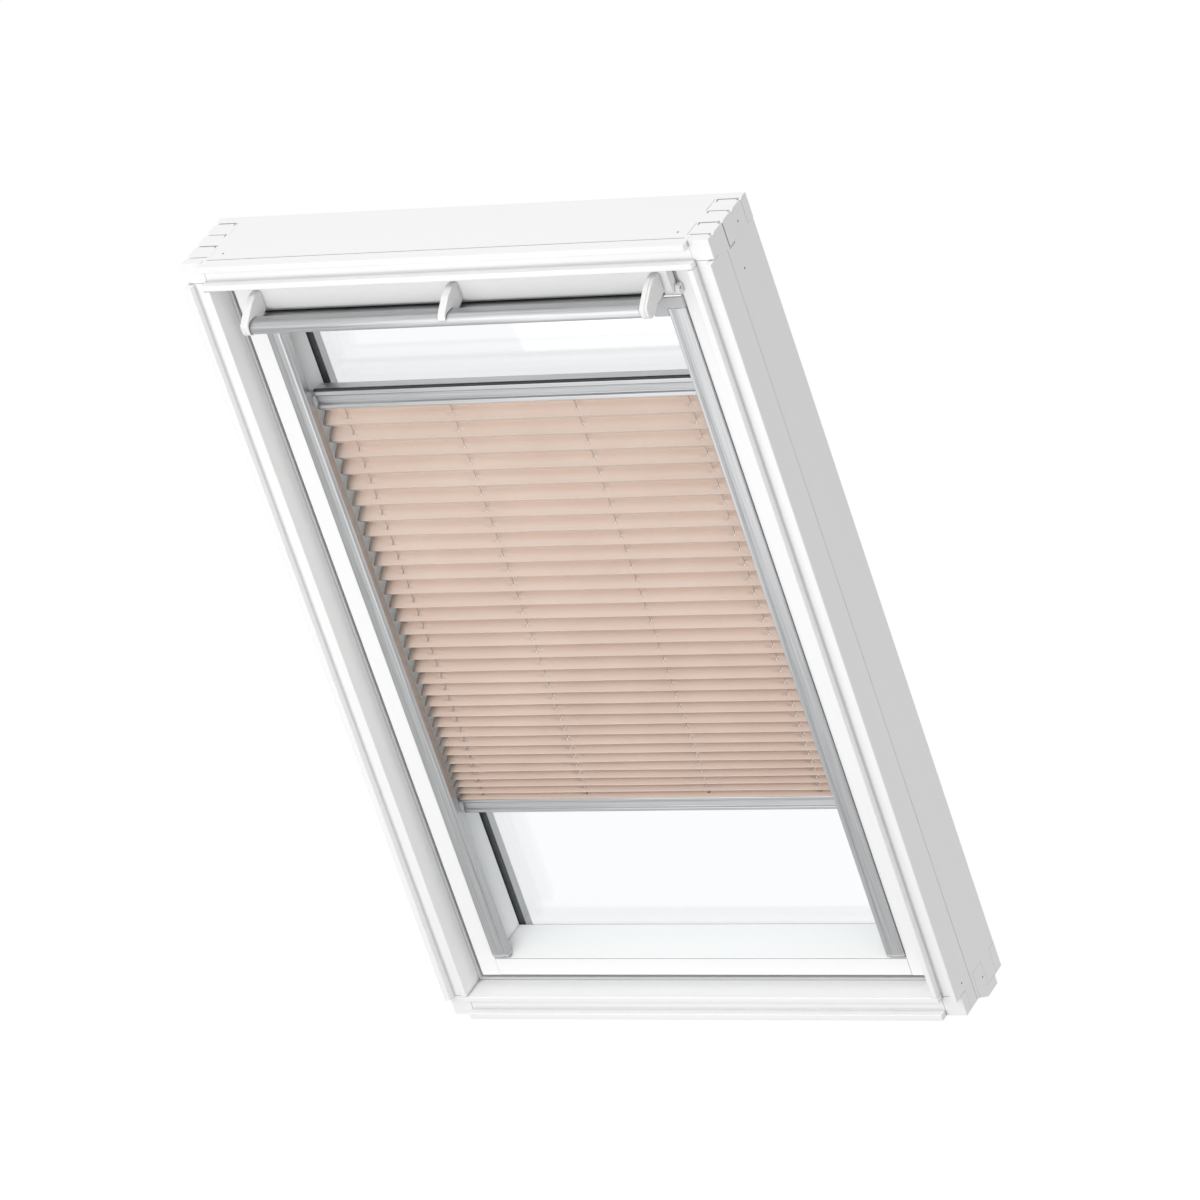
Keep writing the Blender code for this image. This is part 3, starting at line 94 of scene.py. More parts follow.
# %% [markdown]
# ## The camera
# The picture was taken with a long lens from the right, from well above the window's lower edge, and
# with the camera rolled. The position and the three angles were worked out from the frame's corners,
# whose real places are known. Turning the camera by eye would do too, but it takes many tries. A long
# lens keeps the far edges almost as long as the near ones.

# %% Set the camera
CAMERA_PLACE = Vector((5.9015, -8.4002, 5.9791))
CAMERA_AZIMUTH = math.radians(34.894)
CAMERA_ELEVATION = math.radians(27.529)
CAMERA_ROLL = math.radians(-19.222)
CAMERA_LENS = 268.65  # in millimetres, as is the sensor
SENSOR = 36.0
NEAREST = 0.1
FARTHEST = 100.0


def pointed(place, direction, roll=0.0):
    """The matrix of a camera or lamp at a place, looking in a direction."""
    aim = direction.to_track_quat("-Z", "Y").to_matrix().to_4x4()
    return Matrix.Translation(place) @ aim @ Matrix.Rotation(roll, 4, "Z")


flat = math.cos(CAMERA_ELEVATION)
looking = Vector((
    -math.sin(CAMERA_AZIMUTH) * flat, math.cos(CAMERA_AZIMUTH) * flat, -math.sin(CAMERA_ELEVATION)
))
lens = bpy.data.cameras.new("long_lens")
lens.lens = CAMERA_LENS
lens.sensor_width = SENSOR
lens.clip_start = NEAREST
lens.clip_end = FARTHEST
camera = bpy.data.objects.new("camera", lens)
camera.matrix_world = pointed(CAMERA_PLACE, looking, CAMERA_ROLL)
bpy.context.scene.collection.objects.link(camera)
bpy.context.scene.camera = camera
print("camera looks along", [round(part, 3) for part in looking])

# %% [markdown]
# ## Colours and nodes
# Colours are written as the familiar sRGB hex values, and one function turns them into the linear
# numbers that the renderer adds and multiplies. The others add a node or a colour ramp to a
# material, set it and link it. The same recipes could be drawn by hand in the shader editor, but
# as short lists they are easier to read and compare.

# %% Helpers for materials
def tint(code):
    """An sRGB hex colour as linear red, green, blue and a full alpha."""
    shares = [int(code[i:i + 2], 16) / 255 for i in (0, 2, 4)]
    return [s / 12.92 if s <= 0.04045 else ((s + 0.055) / 1.055) ** 2.4 for s in shares] + [1.0]


def add_node(tree, kind, inputs=None, **settings):
    """A node with its settings. An input is a value, or a pair of a node and its output's name."""
    made = tree.nodes.new(kind)
    for name, value in settings.items():
        setattr(made, name, value)
    for name, value in (inputs or {}).items():
        if isinstance(value, tuple) and isinstance(value[0], bpy.types.Node):
            tree.links.new(value[0].outputs[value[1]], made.inputs[name])
        else:
            made.inputs[name].default_value = value
    return made


def add_ramp(tree, factor, dark, light, low=0.0, high=1.0):
    """A colour ramp between two colours, from a low to a high value of its factor."""
    ramp = add_node(tree, "ShaderNodeValToRGB", {"Fac": factor})
    for index, (position, code) in enumerate(((low, dark), (high, light))):
        ramp.color_ramp.elements[index].position = position
        ramp.color_ramp.elements[index].color = tint(code)
    return ramp


def new_finish(name, **sockets):
    """A material with a Principled shader whose plain values are set on its own sockets."""
    material = bpy.data.materials.new(name)
    material.use_nodes = True
    shader = material.node_tree.nodes["Principled BSDF"]
    for socket, value in sockets.items():
        shader.inputs[socket.replace("_", " ")].default_value = value
    return material, material.node_tree, shader


print("a middle grey is", round(tint("808080")[0], 3), "in linear light")

# %% [markdown]
# ## Studio light
# The window is shown on plain white, in the shadowless light of a white studio. A ring of lamps
# could make such light, but the whole world does it with less noise. It fades smoothly from bright
# above to dim below, so hollows and undersides darken softly, as in the picture. To the camera, and
# through the glass, the world looks plain white, and reflections see it a little darker.

# %% Make the world
WHITE = (1, 1, 1, 1)
LIGHT_FROM = Vector((0.0, -0.35, 0.94)).normalized()
LIGHT_MEAN = 0.69
LIGHT_SWING = 0.36
MIRRORED = 0.7


def seen_directly(tree, mirrored):
    """1 for rays from the camera, straight or through glass, the mirrored share for reflections."""
    path = add_node(tree, "ShaderNodeLightPath")
    straight = add_node(
        tree, "ShaderNodeMath", {0: (path, "Is Camera Ray"), 1: (path, "Is Transmission Ray")},
        operation="MAXIMUM",
    )
    return add_node(
        tree, "ShaderNodeMath", {0: (path, "Is Glossy Ray"), 1: mirrored, 2: (straight, 0)},
        operation="MULTIPLY_ADD", use_clamp=True,
    )


world = bpy.data.worlds.new("white_studio")
bpy.context.scene.world = world
world.use_nodes = True
tree = world.node_tree
tree.nodes.clear()
way = add_node(tree, "ShaderNodeTexCoord")
lean = add_node(
    tree, "ShaderNodeVectorMath", {0: (way, "Generated"), 1: LIGHT_FROM}, operation="DOT_PRODUCT"
)
strength = add_node(
    tree, "ShaderNodeMath", {0: (lean, "Value"), 1: LIGHT_SWING, 2: LIGHT_MEAN},
    operation="MULTIPLY_ADD",
)
soft = add_node(tree, "ShaderNodeBackground", {"Color": WHITE, "Strength": (strength, 0)})
bright = add_node(tree, "ShaderNodeBackground", {"Color": WHITE, "Strength": 1.0})
seen = seen_directly(tree, MIRRORED)
mixed = add_node(tree, "ShaderNodeMixShader", {0: (seen, 0), 1: (soft, 0), 2: (bright, 0)})
add_node(tree, "ShaderNodeOutputWorld", {"Surface": (mixed, 0)})
print("light from below and above:", *(round(LIGHT_MEAN + side * LIGHT_SWING, 2) for side in (-1, 1)))

# %% [markdown]
# ## The floor
# The floor is a wide sheet of white paper, far below the window. Lit only by the room it would show
# as pale grey, so to the camera it glows like the world, while it sends the window the light of matt
# paper. Reflections see it darker further away, which gives the metal rails their tone.

# %% Make the floor
FLOOR_DROP = 0.55
FLOOR_SIZE = 40.0
FLOOR_GLOW = 1.05
FLOOR_SHARE = 0.93  # of the glow; the rest is the paper itself
FADE_START = 2.0
FADE_END = 3.6
FADED = 0.3

paper, tree, shader = new_finish("white_backdrop_paper", Base_Color=tint("A8A8A8"), Roughness=0.9)
glow = add_node(tree, "ShaderNodeEmission", {"Color": WHITE, "Strength": FLOOR_GLOW})
place = add_node(tree, "ShaderNodeTexCoord")
away = add_node(tree, "ShaderNodeVectorMath", {0: (place, "Object")}, operation="LENGTH")
fade = add_node(tree, "ShaderNodeMapRange", {
    "Value": (away, "Value"), "From Min": FADE_START, "From Max": FADE_END,
    "To Min": MIRRORED, "To Max": FADED,
})
seen = seen_directly(tree, (fade, 0))
share = add_node(tree, "ShaderNodeMath", {0: (seen, 0), 1: FLOOR_SHARE}, operation="MULTIPLY")
mixed = add_node(tree, "ShaderNodeMixShader", {0: (share, 0), 1: (shader, 0), 2: (glow, 0)})
tree.links.new(mixed.outputs[0], tree.nodes["Material Output"].inputs["Surface"])


def add_piece(name, shape, finish=None):
    """Turns a bmesh into an object of the scene."""
    mesh = bpy.data.meshes.new(name)
    shape.to_mesh(mesh)
    shape.free()
    if finish:
        mesh.materials.append(finish)
    piece = bpy.data.objects.new(name, mesh)
    bpy.context.scene.collection.objects.link(piece)
    return piece


shape = bmesh.new()
bmesh.ops.create_grid(shape, x_segments=1, y_segments=1, size=FLOOR_SIZE / 2)
bmesh.ops.translate(shape, vec=(0, 0, cad_low[2] - FLOOR_DROP), verts=shape.verts)
floor = add_piece("floor", shape, paper)
print("floor at", round(cad_low[2] - FLOOR_DROP, 3))

# %% [markdown]
# ## A softbox before the opening
# One large softbox hangs close before the window. It lights the faces that look into the room and
# reaches into the opening, while it barely touches the outer sides. So the reveals stay bright, as in
# the picture, and the outer side is a clear tone darker. A lamp further off would light both alike.

# %% Hang the softbox
BOX_PLACE = Vector((-0.10, -1.10, 0.80))
BOX_WIDTH = 1.4
BOX_HEIGHT = 1.8
BOX_POWER = 7.8

centre = (Vector(cad_low) + Vector(cad_high)) / 2
lamp = bpy.data.lights.new("softbox", "AREA")
lamp.shape = "RECTANGLE"
lamp.size = BOX_WIDTH
lamp.size_y = BOX_HEIGHT
lamp.energy = BOX_POWER
box = bpy.data.objects.new("softbox", lamp)
box.matrix_world = pointed(BOX_PLACE, centre - BOX_PLACE)
bpy.context.scene.collection.objects.link(box)
print("the softbox aims at", [round(part, 2) for part in centre])

# %% [markdown]
# ## Grain
# No moulded, coated or drawn surface is perfectly even. A noise texture gives each one a fine relief,
# and the same noise spreads its roughness, so the highlights break up softly. Photographs of the
# materials would do as well, but a formula has no size limit and no seams.

# %% Helpers for grain
GRAIN_DETAIL = 3.0
GRAIN_STRENGTH = 0.5
NOISE_LOW = 0.3  # nearly all values of a noise lie between these two
NOISE_HIGH = 0.7


def roughen(tree, shader, pattern, smooth, rough):
    """Spreads a noise pattern over a range of roughness."""
    spread = add_node(tree, "ShaderNodeMapRange", {
        "Value": (pattern, "Fac"), "From Min": NOISE_LOW, "From Max": NOISE_HIGH,
        "To Min": smooth, "To Max": rough,
    })
    tree.links.new(spread.outputs[0], shader.inputs["Roughness"])


def add_grain(tree, shader, features, height, smooth, rough):
    """A fine random relief, in features a metre, whose high spots are the rougher ones."""
    place = add_node(tree, "ShaderNodeTexCoord")
    grain = add_node(tree, "ShaderNodeTexNoise", {
        "Vector": (place, "Object"), "Scale": features, "Detail": GRAIN_DETAIL,
    })
    relief = add_node(tree, "ShaderNodeBump", {
        "Height": (grain, "Fac"), "Distance": height, "Strength": GRAIN_STRENGTH,
    })
    tree.links.new(relief.outputs["Normal"], shader.inputs["Normal"])
    roughen(tree, shader, grain, smooth, rough)
    return grain


print("noise values from", NOISE_LOW, "to", NOISE_HIGH, "are spread over a finish's roughness")

# %% [markdown]
# ## White coated timber and mouldings
# The frame and the sash are laminated timber under a thick polyurethane coat. The coat hides the grain
# and cures to a satin skin with a very faint orange peel. Its mottle is drawn at 3 mm, coarser than
# the real one, so that it shows at all. Narrow grooves and joints get a painted shade: the coat's
# colour darkens where little of the surroundings is open. An Ambient Occlusion node finds them, which
# saves painting a map.

# %% White and grey finishes
NOOK_SAMPLES = 8
NOOK_CLOSED = 0.25  # the open share of the surroundings where the dark tone is reached
NOOK_OPEN = 0.75  # and where the light tone is


def paint_crevice_shade(tree, shader, dark, light, reach):
    """Painted shade: a darker tone in grooves and joints that are narrower than the reach."""
    painted_shade = add_node(
        tree, "ShaderNodeAmbientOcclusion", {"Distance": reach}, samples=NOOK_SAMPLES
    )
    colour = add_ramp(tree, (painted_shade, "AO"), dark, light, NOOK_CLOSED, NOOK_OPEN)
    tree.links.new(colour.outputs["Color"], shader.inputs["Base Color"])


coated, tree, shader = new_finish(
    "white_polyurethane_on_timber", Coat_Weight=0.15, Coat_Roughness=0.25
)
# painted shade: the dark tone goes where the coat is closed in, the light tone is the open coat
paint_crevice_shade(tree, shader, "9E9E9F", "FBFBFB", reach=0.011)
add_grain(tree, shader, features=330, height=0.00004, smooth=0.34, rough=0.46)

moulded_white, tree, shader = new_finish("white_moulded_abs", Base_Color=tint("F1F1F0"), IOR=1.5)
add_grain(tree, shader, features=900, height=0.00003, smooth=0.38, rough=0.5)

moulded_grey, tree, shader = new_finish("grey_moulded_abs", Base_Color=tint("C9CACB"), IOR=1.5)
add_grain(tree, shader, features=900, height=0.00003, smooth=0.42, rough=0.55)
print("white and grey finishes made")

# %% [markdown]
# ## Anodised aluminium
# The blind's rails and the control bar are extruded, brushed along their length and anodised. The
# brushing leaves fine streaks that run with the rail, so the noise is stretched along one axis. Real
# scratches are a few hundredths of a millimetre wide; here they are drawn about 1.5 mm wide. The
# rails' narrow recesses get a painted shade, so they look darker, as in the picture.

# %% Brushed aluminium
STREAK_WIDTH = 0.0015
STREAK_LENGTH = 0.120
STREAK_DETAIL = 4.0
STREAK_HEIGHT = 0.00005
STREAK_STRENGTH = 0.35


def brushed_aluminium(name, along, dark, light, reach):
    """Anodised aluminium with streaks along X or Z, with painted shade in recesses narrower than the
    reach.
    """
    made, tree, shader = new_finish(name, Metallic=1.0, Anisotropic=0.4)
    scale = [1 / STREAK_WIDTH] * 3
    scale["XYZ".index(along)] = 1 / STREAK_LENGTH
    place = add_node(tree, "ShaderNodeTexCoord")
    stretch = add_node(tree, "ShaderNodeMapping", {"Vector": (place, "Object"), "Scale": scale})
    streak = add_node(tree, "ShaderNodeTexNoise", {
        "Vector": (stretch, 0), "Scale": 1.0, "Detail": STREAK_DETAIL, "Roughness": 0.6,
    })
    colour = add_ramp(tree, (streak, "Fac"), dark, light, NOISE_LOW, NOISE_HIGH)
    # painted shade: the streaked colour is darkened in recesses narrower than the reach
    painted_shade = add_node(
        tree, "ShaderNodeAmbientOcclusion", {"Color": (colour, "Color"), "Distance": reach},
        samples=NOOK_SAMPLES,
    )
    relief = add_node(tree, "ShaderNodeBump", {
        "Height": (streak, "Fac"), "Distance": STREAK_HEIGHT, "Strength": STREAK_STRENGTH,
    })
    tree.links.new(painted_shade.outputs["Color"], shader.inputs["Base Color"])
    tree.links.new(relief.outputs["Normal"], shader.inputs["Normal"])
    roughen(tree, shader, streak, 0.30, 0.46)
    return made


aluminium_across = brushed_aluminium(
    "anodised_aluminium_along_x", "X", "B6B7B8", "D4D5D6", reach=0.005
)
aluminium_upright = brushed_aluminium(
    "anodised_aluminium_along_z", "Z", "AEAFB0", "CECFD0", reach=0.001
)
print("streaks, mm:", STREAK_WIDTH * 1000, "by", STREAK_LENGTH * 1000)

# %% [markdown]
# ## Lacquer and zinc
# The covers on the outside are aluminium under a grey lacquer, which hides most of the metal's shine.
# Hinges, pins and the lock are steel with a zinc skin. Its crystals make patches of a slightly
# different grey, so here the noise sets the colour too.

# %% Lacquered and zinc-plated finishes
lacquered, tree, shader = new_finish(
    "grey_lacquered_aluminium", Base_Color=tint("6A6C6E"), Metallic=0.3
)
add_grain(tree, shader, features=1200, height=0.00003, smooth=0.45, rough=0.6)

zinc, tree, shader = new_finish("zinc_plated_steel", Metallic=1.0)
patches = add_grain(tree, shader, features=500, height=0.00002, smooth=0.28, rough=0.42)
colour = add_ramp(tree, (patches, "Fac"), "9C9FA3", "C6C8CA")
tree.links.new(colour.outputs["Color"], shader.inputs["Base Color"])
print("lacquer and zinc made")

# %% [markdown]
# ## Rubber and foam
# The seals are synthetic rubber, dull and slightly grainy, black round the glass and grey round the
# reveal. The air filter is an open-cell foam in a dark grey. Its bubbles could be modelled, but a
# Voronoi texture gives the same dark pits at no cost, as painted shade over the foam's own grey.

# %% Rubber and foam finishes
FOAM_CELLS = 900  # in a metre
FOAM_DEPTH = 0.0004

rubber, tree, shader = new_finish("black_epdm_rubber", Base_Color=tint("3A3B3D"), IOR=1.5)
add_grain(tree, shader, features=1500, height=0.00005, smooth=0.55, rough=0.75)

soft_grey, tree, shader = new_finish(
    "grey_thermoplastic_rubber", Base_Color=tint("CDCECF"), IOR=1.5
)
add_grain(tree, shader, features=1500, height=0.00005, smooth=0.55, rough=0.75)

foam, tree, shader = new_finish("open_cell_foam", Roughness=0.95)
place = add_node(tree, "ShaderNodeTexCoord")
cells = add_node(
    tree, "ShaderNodeTexVoronoi", {"Vector": (place, "Object"), "Scale": FOAM_CELLS}
)
# painted shade in the pits, darkest at each cell's middle, over the foam's own grey
colour = add_ramp(tree, (cells, "Distance"), "2F3133", "6B6E70")
relief = add_node(
    tree, "ShaderNodeBump", {"Height": (cells, "Distance"), "Distance": FOAM_DEPTH}
)
tree.links.new(colour.outputs["Color"], shader.inputs["Base Color"])
tree.links.new(relief.outputs["Normal"], shader.inputs["Normal"])
print("rubber and foam made")

# %% [markdown]
# ## Glass
# The panes are clear float glass, with a very faint cool tint where white is seen through two of
# them. Real glass lets daylight through to the sash and the cloth. A renderer finds that path only
# with much noise, so for shadows and soft light the glass is simply transparent.

# %% Glass finish
glass, tree, shader = new_finish(
    "clear_float_glass", Base_Color=tint("FDFEFF"), Roughness=0.0, Transmission_Weight=1.0,
    IOR=1.5,
)
path = add_node(tree, "ShaderNodeLightPath")
unseen = add_node(
    tree, "ShaderNodeMath", {0: (path, "Is Shadow Ray"), 1: (path, "Is Diffuse Ray")},
    operation="MAXIMUM",
)
clear = add_node(tree, "ShaderNodeBsdfTransparent", {"Color": tint("F4F8F8")})
mixed = add_node(tree, "ShaderNodeMixShader", {0: (unseen, 0), 1: (shader, 0), 2: (clear, 0)})
tree.links.new(mixed.outputs[0], tree.nodes["Material Output"].inputs["Surface"])
print("glass made")

# %% [markdown]
# ## Shading of rounds and flats
# An eased edge should look round, while the broad face beside it stays truly flat. Smooth shading by
# angle alone would bend the light on the flat faces too. So a face counts as curved only if a
# neighbour across a blunt edge is about as wide, and only edges between curved faces are smooth.

# %% Shade a piece
SLIGHT = math.radians(0.6)
CREASED = math.radians(50)
ALIKE = 2.5


def breadth(face):
    """A face's width across its longest edge."""
    return face.calc_area() / max(edge.calc_length() for edge in face.edges)


def is_curved(face):
    """True where a neighbour across a blunt edge is about as wide, as in a round."""
    own = breadth(face)
    for edge in face.edges:
        if edge.is_manifold and SLIGHT < edge.calc_face_angle(0) < CREASED:
            other = breadth(next(near for near in edge.link_faces if near is not face))
            if 1 / ALIKE < other / own < ALIKE:
                return True
    return False


def shade(shape):
    """Smooth shading inside the rounds alone, so that every broad face stays truly flat."""
    curved = {face for face in shape.faces if is_curved(face)}
    for edge in shape.edges:
        edge.smooth = curved.issuperset(edge.link_faces) and edge.calc_face_angle(0) < CREASED
    for face in shape.faces:
        face.smooth = True


print("edges stay hard above", round(math.degrees(CREASED)), "degrees")

# %% [markdown]
# ## The joint line on the lower sash rail
# The lower sash rail has a fine line along its face, a millimetre below the bevel, where two boards
# meet. A thin dark strip could stand for it, but a real groove takes its own shade. Three cuts are
# made through the rail, and the middle one is pushed in.

# %% Cut a joint line
SCORE_HALF = 0.0006
SCORE_DEPTH = 0.0016
BEAD_DROP = 0.0093  # from the side rail's foot to the joint line
WELD = 0.00001
ON_LINE = 0.00002
ON_FACE = 0.0001

joint_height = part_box("side_rail_left")[0][2] - BEAD_DROP


def score(shape, height):
    """Cuts a fine joint line along X into a piece's room face."""
    front = min(vertex.co.y for vertex in shape.verts)
    for level in (height - SCORE_HALF, height, height + SCORE_HALF):
        whole = shape.verts[:] + shape.edges[:] + shape.faces[:]
        bmesh.ops.bisect_plane(
            shape, geom=whole, plane_co=(0, 0, level), plane_no=(0, 0, 1), dist=WELD
        )
    deep = [
        vertex for vertex in shape.verts
        if abs(vertex.co.z - height) < ON_LINE and abs(vertex.co.y - front) < ON_FACE
    ]
    bmesh.ops.translate(shape, vec=(0, SCORE_DEPTH, 0), verts=deep)


print("joint line at", round(joint_height, 4))

# %% [markdown]
# ## Eased edges
# Real lacquered timber and extruded metal never end in a knife edge. Each visible piece is copied from
# its construction solid, its flat triangles are joined, and every sharp edge gets a tiny round that
# catches the light. A Bevel modifier could do it, but it would also round the glue line between a
# grooved strip and its board, which the coat fills. With bmesh operators that line is left out.

# %% Ease the edges of a construction piece
SHARP = math.radians(28)
EVEN = math.radians(0.5)
ROUND_STEPS = 2
SEAM = -0.0133
SEAM_GAP = 0.0003


def on_seam(vertex):
    """True where a grooved strip is glued to its board, a joint that the coat fills."""
    return abs(vertex.co.y - SEAM) < SEAM_GAP


def eased(name, finish, width):
    """Puts a copy with rounded edges in a construction piece's place."""
    source = frame["nodes"][name]
    shape = bmesh.new()
    shape.from_mesh(source.data)
    bmesh.ops.remove_doubles(shape, verts=shape.verts, dist=WELD)
    bmesh.ops.dissolve_limit(shape, angle_limit=EVEN, verts=shape.verts, edges=shape.edges)
    edges = [
        edge for edge in shape.edges
        if edge.is_manifold and edge.calc_face_angle(0) > SHARP
        and not all(map(on_seam, edge.verts))
    ]
    if name.startswith("groove_strip"):
        seam = [vertex for vertex in shape.verts if on_seam(vertex)]
        bmesh.ops.translate(shape, vec=(0, SEAM_GAP, 0), verts=seam)
    bmesh.ops.bevel(
        shape, geom=edges, offset=width, offset_type="OFFSET", segments=ROUND_STEPS, profile=0.5,
        affect="EDGES", clamp_overlap=True, material=-1,
    )
    if name == "sash_bottom":
        score(shape, joint_height)
    shade(shape)
    bmesh.ops.triangulate(shape, faces=[face for face in shape.faces if len(face.verts) > 4])
    piece = add_piece(name + "_eased", shape, finish)
    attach(piece, source["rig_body"])
    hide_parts(name)


print("each eased edge has", ROUND_STEPS, "steps")

# %% [markdown]
# ## A finish for every piece
# Timber, mouldings, rails and covers are seen from near and get their eased copies. Seals, glass and
# the small steel parts are thin or hidden, so they keep their construction shape, and only their
# material changes.

# %% Dress the pieces
timber = ("frame_top", "frame_bottom", "frame_left", "frame_right", "groove_strip_top",
          "groove_strip_bottom", "groove_strip_left", "groove_strip_right",
          "sash_top", "sash_bottom", "sash_left", "sash_right", "vent_flap")
plastic = ("bar_bracket_left", "bar_bracket_middle", "bar_bracket_right", "bar_end_cap_left",
           "bar_end_cap_right", "flap_bearing_left", "flap_bearing_right")
trim = ("blind_bracket_left", "blind_bracket_right", "rail_cap_left", "rail_cap_right",
        "top_glide_left", "top_glide_right", "bottom_glide_left", "bottom_glide_right")
across = ("control_bar", "blind_top_rail", "blind_bottom_rail")
upright = ("side_rail_left", "side_rail_right")
outside = ("glazing_cover_top", "glazing_cover_bottom", "glazing_cover_left",
           "glazing_cover_right")
steel = ("pivot_bearing_left", "pivot_bearing_right", "pivot_arm_left", "pivot_arm_right",
         "lock_case", "lock_latch", "lock_striker", "hinge_pin_left", "hinge_pin_right")
seals = ("edge_seal", "glazing_gasket", "flap_gasket", "top_brush")

easing = (  # the last number is the radius of the eased edges
    (timber, coated, 0.0006),
    (plastic, moulded_white, 0.0006),
    (trim, moulded_grey, 0.0005),
    (across, aluminium_across, 0.0002),
    (upright, aluminium_upright, 0.0002),
    (outside, lacquered, 0.0003),
)
for names, finish, width in easing:
    for name in names:
        eased(name, finish, width)

plain = (
    (steel, zinc),
    (seals, rubber),
    (("weather_seal",), soft_grey),
    (("filter_strip",), foam),
    (("inner_pane", "outer_pane"), glass),
    (("spacer_frame",), aluminium_upright),
)
for names, finish in plain:
    for name in names:
        slots = frame["nodes"][name].data.materials
        slots.clear()
        slots.append(finish)
print("eased pieces:", sum(len(names) for names, _, _ in easing))

# %% [markdown]
# ## The pleated cloth
# The blind is one sheet of polyester, pressed into pleats with permanent creases. Every facet is 20 mm
# deep. The pleats hang open at the top and close up towards the bottom under their own weight. A
# cloth simulation would have to be taught those creases, so the spacing is a formula instead: each
# pleat takes a smaller share of the height than the one above it.

# %% Work out the creases
FACET = 0.020
PLEATS = 32
TAPER = 0.60  # how much less the lowest pleat takes than the topmost
CURVE = 1.5
CLOTH_Y = 0.026
CLOTH_SPARE = 0.007  # how far the sheet runs in behind each side rail

cloth_low, cloth_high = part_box("pleated_fabric")
top_edge, bottom_edge = cloth_high[2], cloth_low[2]
half_cloth = cloth_high[0] + CLOTH_SPARE
shares = [1 - TAPER * (i / (PLEATS - 1)) ** CURVE for i in range(PLEATS)]
pitch = (top_edge - bottom_edge) / sum(shares)
ridges = [top_edge]
for share in shares:
    ridges.append(ridges[-1] - share * pitch)
depths = [math.sqrt(FACET ** 2 - (share * pitch / 2) ** 2) / 2 for share in shares]
print("topmost and lowest pleat, mm:", *(round(share * pitch * 1000, 1) for share in
                                         (shares[0], shares[-1])))

# %% [markdown]
# ## Columns and slots
# Four cords run through slots that are punched in every facet. A boolean cut could make them, but each
# slot is a plain rectangle. So two columns of the sheet run along its sides, and the face between
# them is left out.

# %% Place the columns
CORDS = (-0.256, -0.096, 0.089, 0.257)
SLOT_HALF_WIDTH = 0.0010
SLOT_HALF_HEIGHT = 0.0030
SLOT_CLEARANCE = 2.5  # half widths of a slot that stay free of other columns
COLUMN = 0.012

columns = set(np.round(np.linspace(-half_cloth, half_cloth, int(2 * half_cloth / COLUMN) + 1), 5))
columns = {
    x for x in columns
    if all(abs(x - cord) > SLOT_CLEARANCE * SLOT_HALF_WIDTH for cord in CORDS)
}
for cord in CORDS:
    columns |= {cord - SLOT_HALF_WIDTH, cord + SLOT_HALF_WIDTH}
columns = sorted(columns)
print("columns:", len(columns))

# %% [markdown]
# ## The shape of a facet
# A facet isn't a flat card. It bows a little between its creases, each crease is a small round and not
# a knife edge, and it wanders by a fraction of a millimetre along its length. That last bit keeps the
# cloth from looking machined.

# %% Points down a facet
CREASE = 0.0011  # from a crease to where its round begins
TUCK = 0.3  # the share of it by which the round stays behind the sharp fold
BOW = 0.0005
SHOULDER = 0.28  # where the facet has most of its bow
SHOULDER_BOW = 0.75
DRIFT = 0.0007
DRIFT_WAVES = 6.0
DRIFT_STEP = 7.31  # so that no two creases wander alike


def crease_drift(x, index):
    """How far a crease wanders up and down along its length."""
    return DRIFT * noise.noise(Vector((x * DRIFT_WAVES, index * DRIFT_STEP, 0.0)))


def facet_rows(start, end):
    """Points down one facet as (share of its depth, bow, whether a slot starts there)."""
    length = (end - start).length
    lead = CREASE / length
    middle = SLOT_HALF_HEIGHT / length
    return [
        (lead, 0.0, False), (SHOULDER, SHOULDER_BOW, False), (0.5 - middle, 1.0, True),
        (0.5 + middle, 1.0, False), (1 - SHOULDER, SHOULDER_BOW, False), (1 - lead, 0.0, False),
    ]


def ridge_point(index):
    """The crease at the front between two pleats, which share it."""
    near = depths[max(index - 1, 0)] + depths[min(index, PLEATS - 1)]
    return Vector((CLOTH_Y - near / 2, ridges[index]))


def pleat_rows(index):
    """Points down one pleat as (place in Y and Z, crease number and share, slot flag)."""
    upper, lower = ridge_point(index), ridge_point(index + 1)
    valley = Vector((CLOTH_Y + depths[index], (upper.y + lower.y) / 2))
    rows = [(upper, 2 * index, False)]
    for start, end, key in ((upper, valley, 2 * index), (valley, lower, 2 * index + 1)):
        run = end - start
        square = Vector((run.y, -run.x)).normalized()
        for share, bow, slot in facet_rows(start, end):
            rows.append((start + run * share + square * BOW * bow, key + share, slot))
        rows.append((end - run.normalized() * CREASE * TUCK, key + 1, False))
    rows[-1] = (lower, 2 * index + 2, False)
    return rows


print("rows in a pleat:", len(pleat_rows(0)))

# %% [markdown]
# ## One pleat of the sheet
# The sheet is built one pleat at a time, from a crease at the front to the next. Neighbours have the
# same points on their common crease. A Solidify modifier gives the sheet its thickness.

# %% Build one pleat
CLOTH = 0.00035


def pleat(name, index):
    """One pleat as a thin sheet, from a crease at the front to the next one."""
    shape = bmesh.new()
    made = []
    for point, key, slot in pleat_rows(index):
        low, share = divmod(key, 1)
        line = []
        for x in columns:
            drift = crease_drift(x, low) * (1 - share) + crease_drift(x, low + 1) * share
            line.append(shape.verts.new((x, point.x, point.y + drift)))
        made.append((line, slot))
    for (upper_line, slot), (lower_line, _) in zip(made, made[1:]):
        for column, (left, right) in enumerate(zip(columns, columns[1:])):
            on_cord = any(abs((left + right) / 2 - cord) < SLOT_HALF_WIDTH for cord in CORDS)
            if slot and on_cord:
                continue
            shape.faces.new((upper_line[column], lower_line[column],
                             lower_line[column + 1], upper_line[column + 1]))
    piece = add_piece(name, shape)
    piece.data.shade_smooth()
    thick = piece.modifiers.new("thickness", "SOLIDIFY")
    thick.thickness = CLOTH
    thick.offset = 0
    return piece


print("sheet thickness, mm:", CLOTH * 1000)

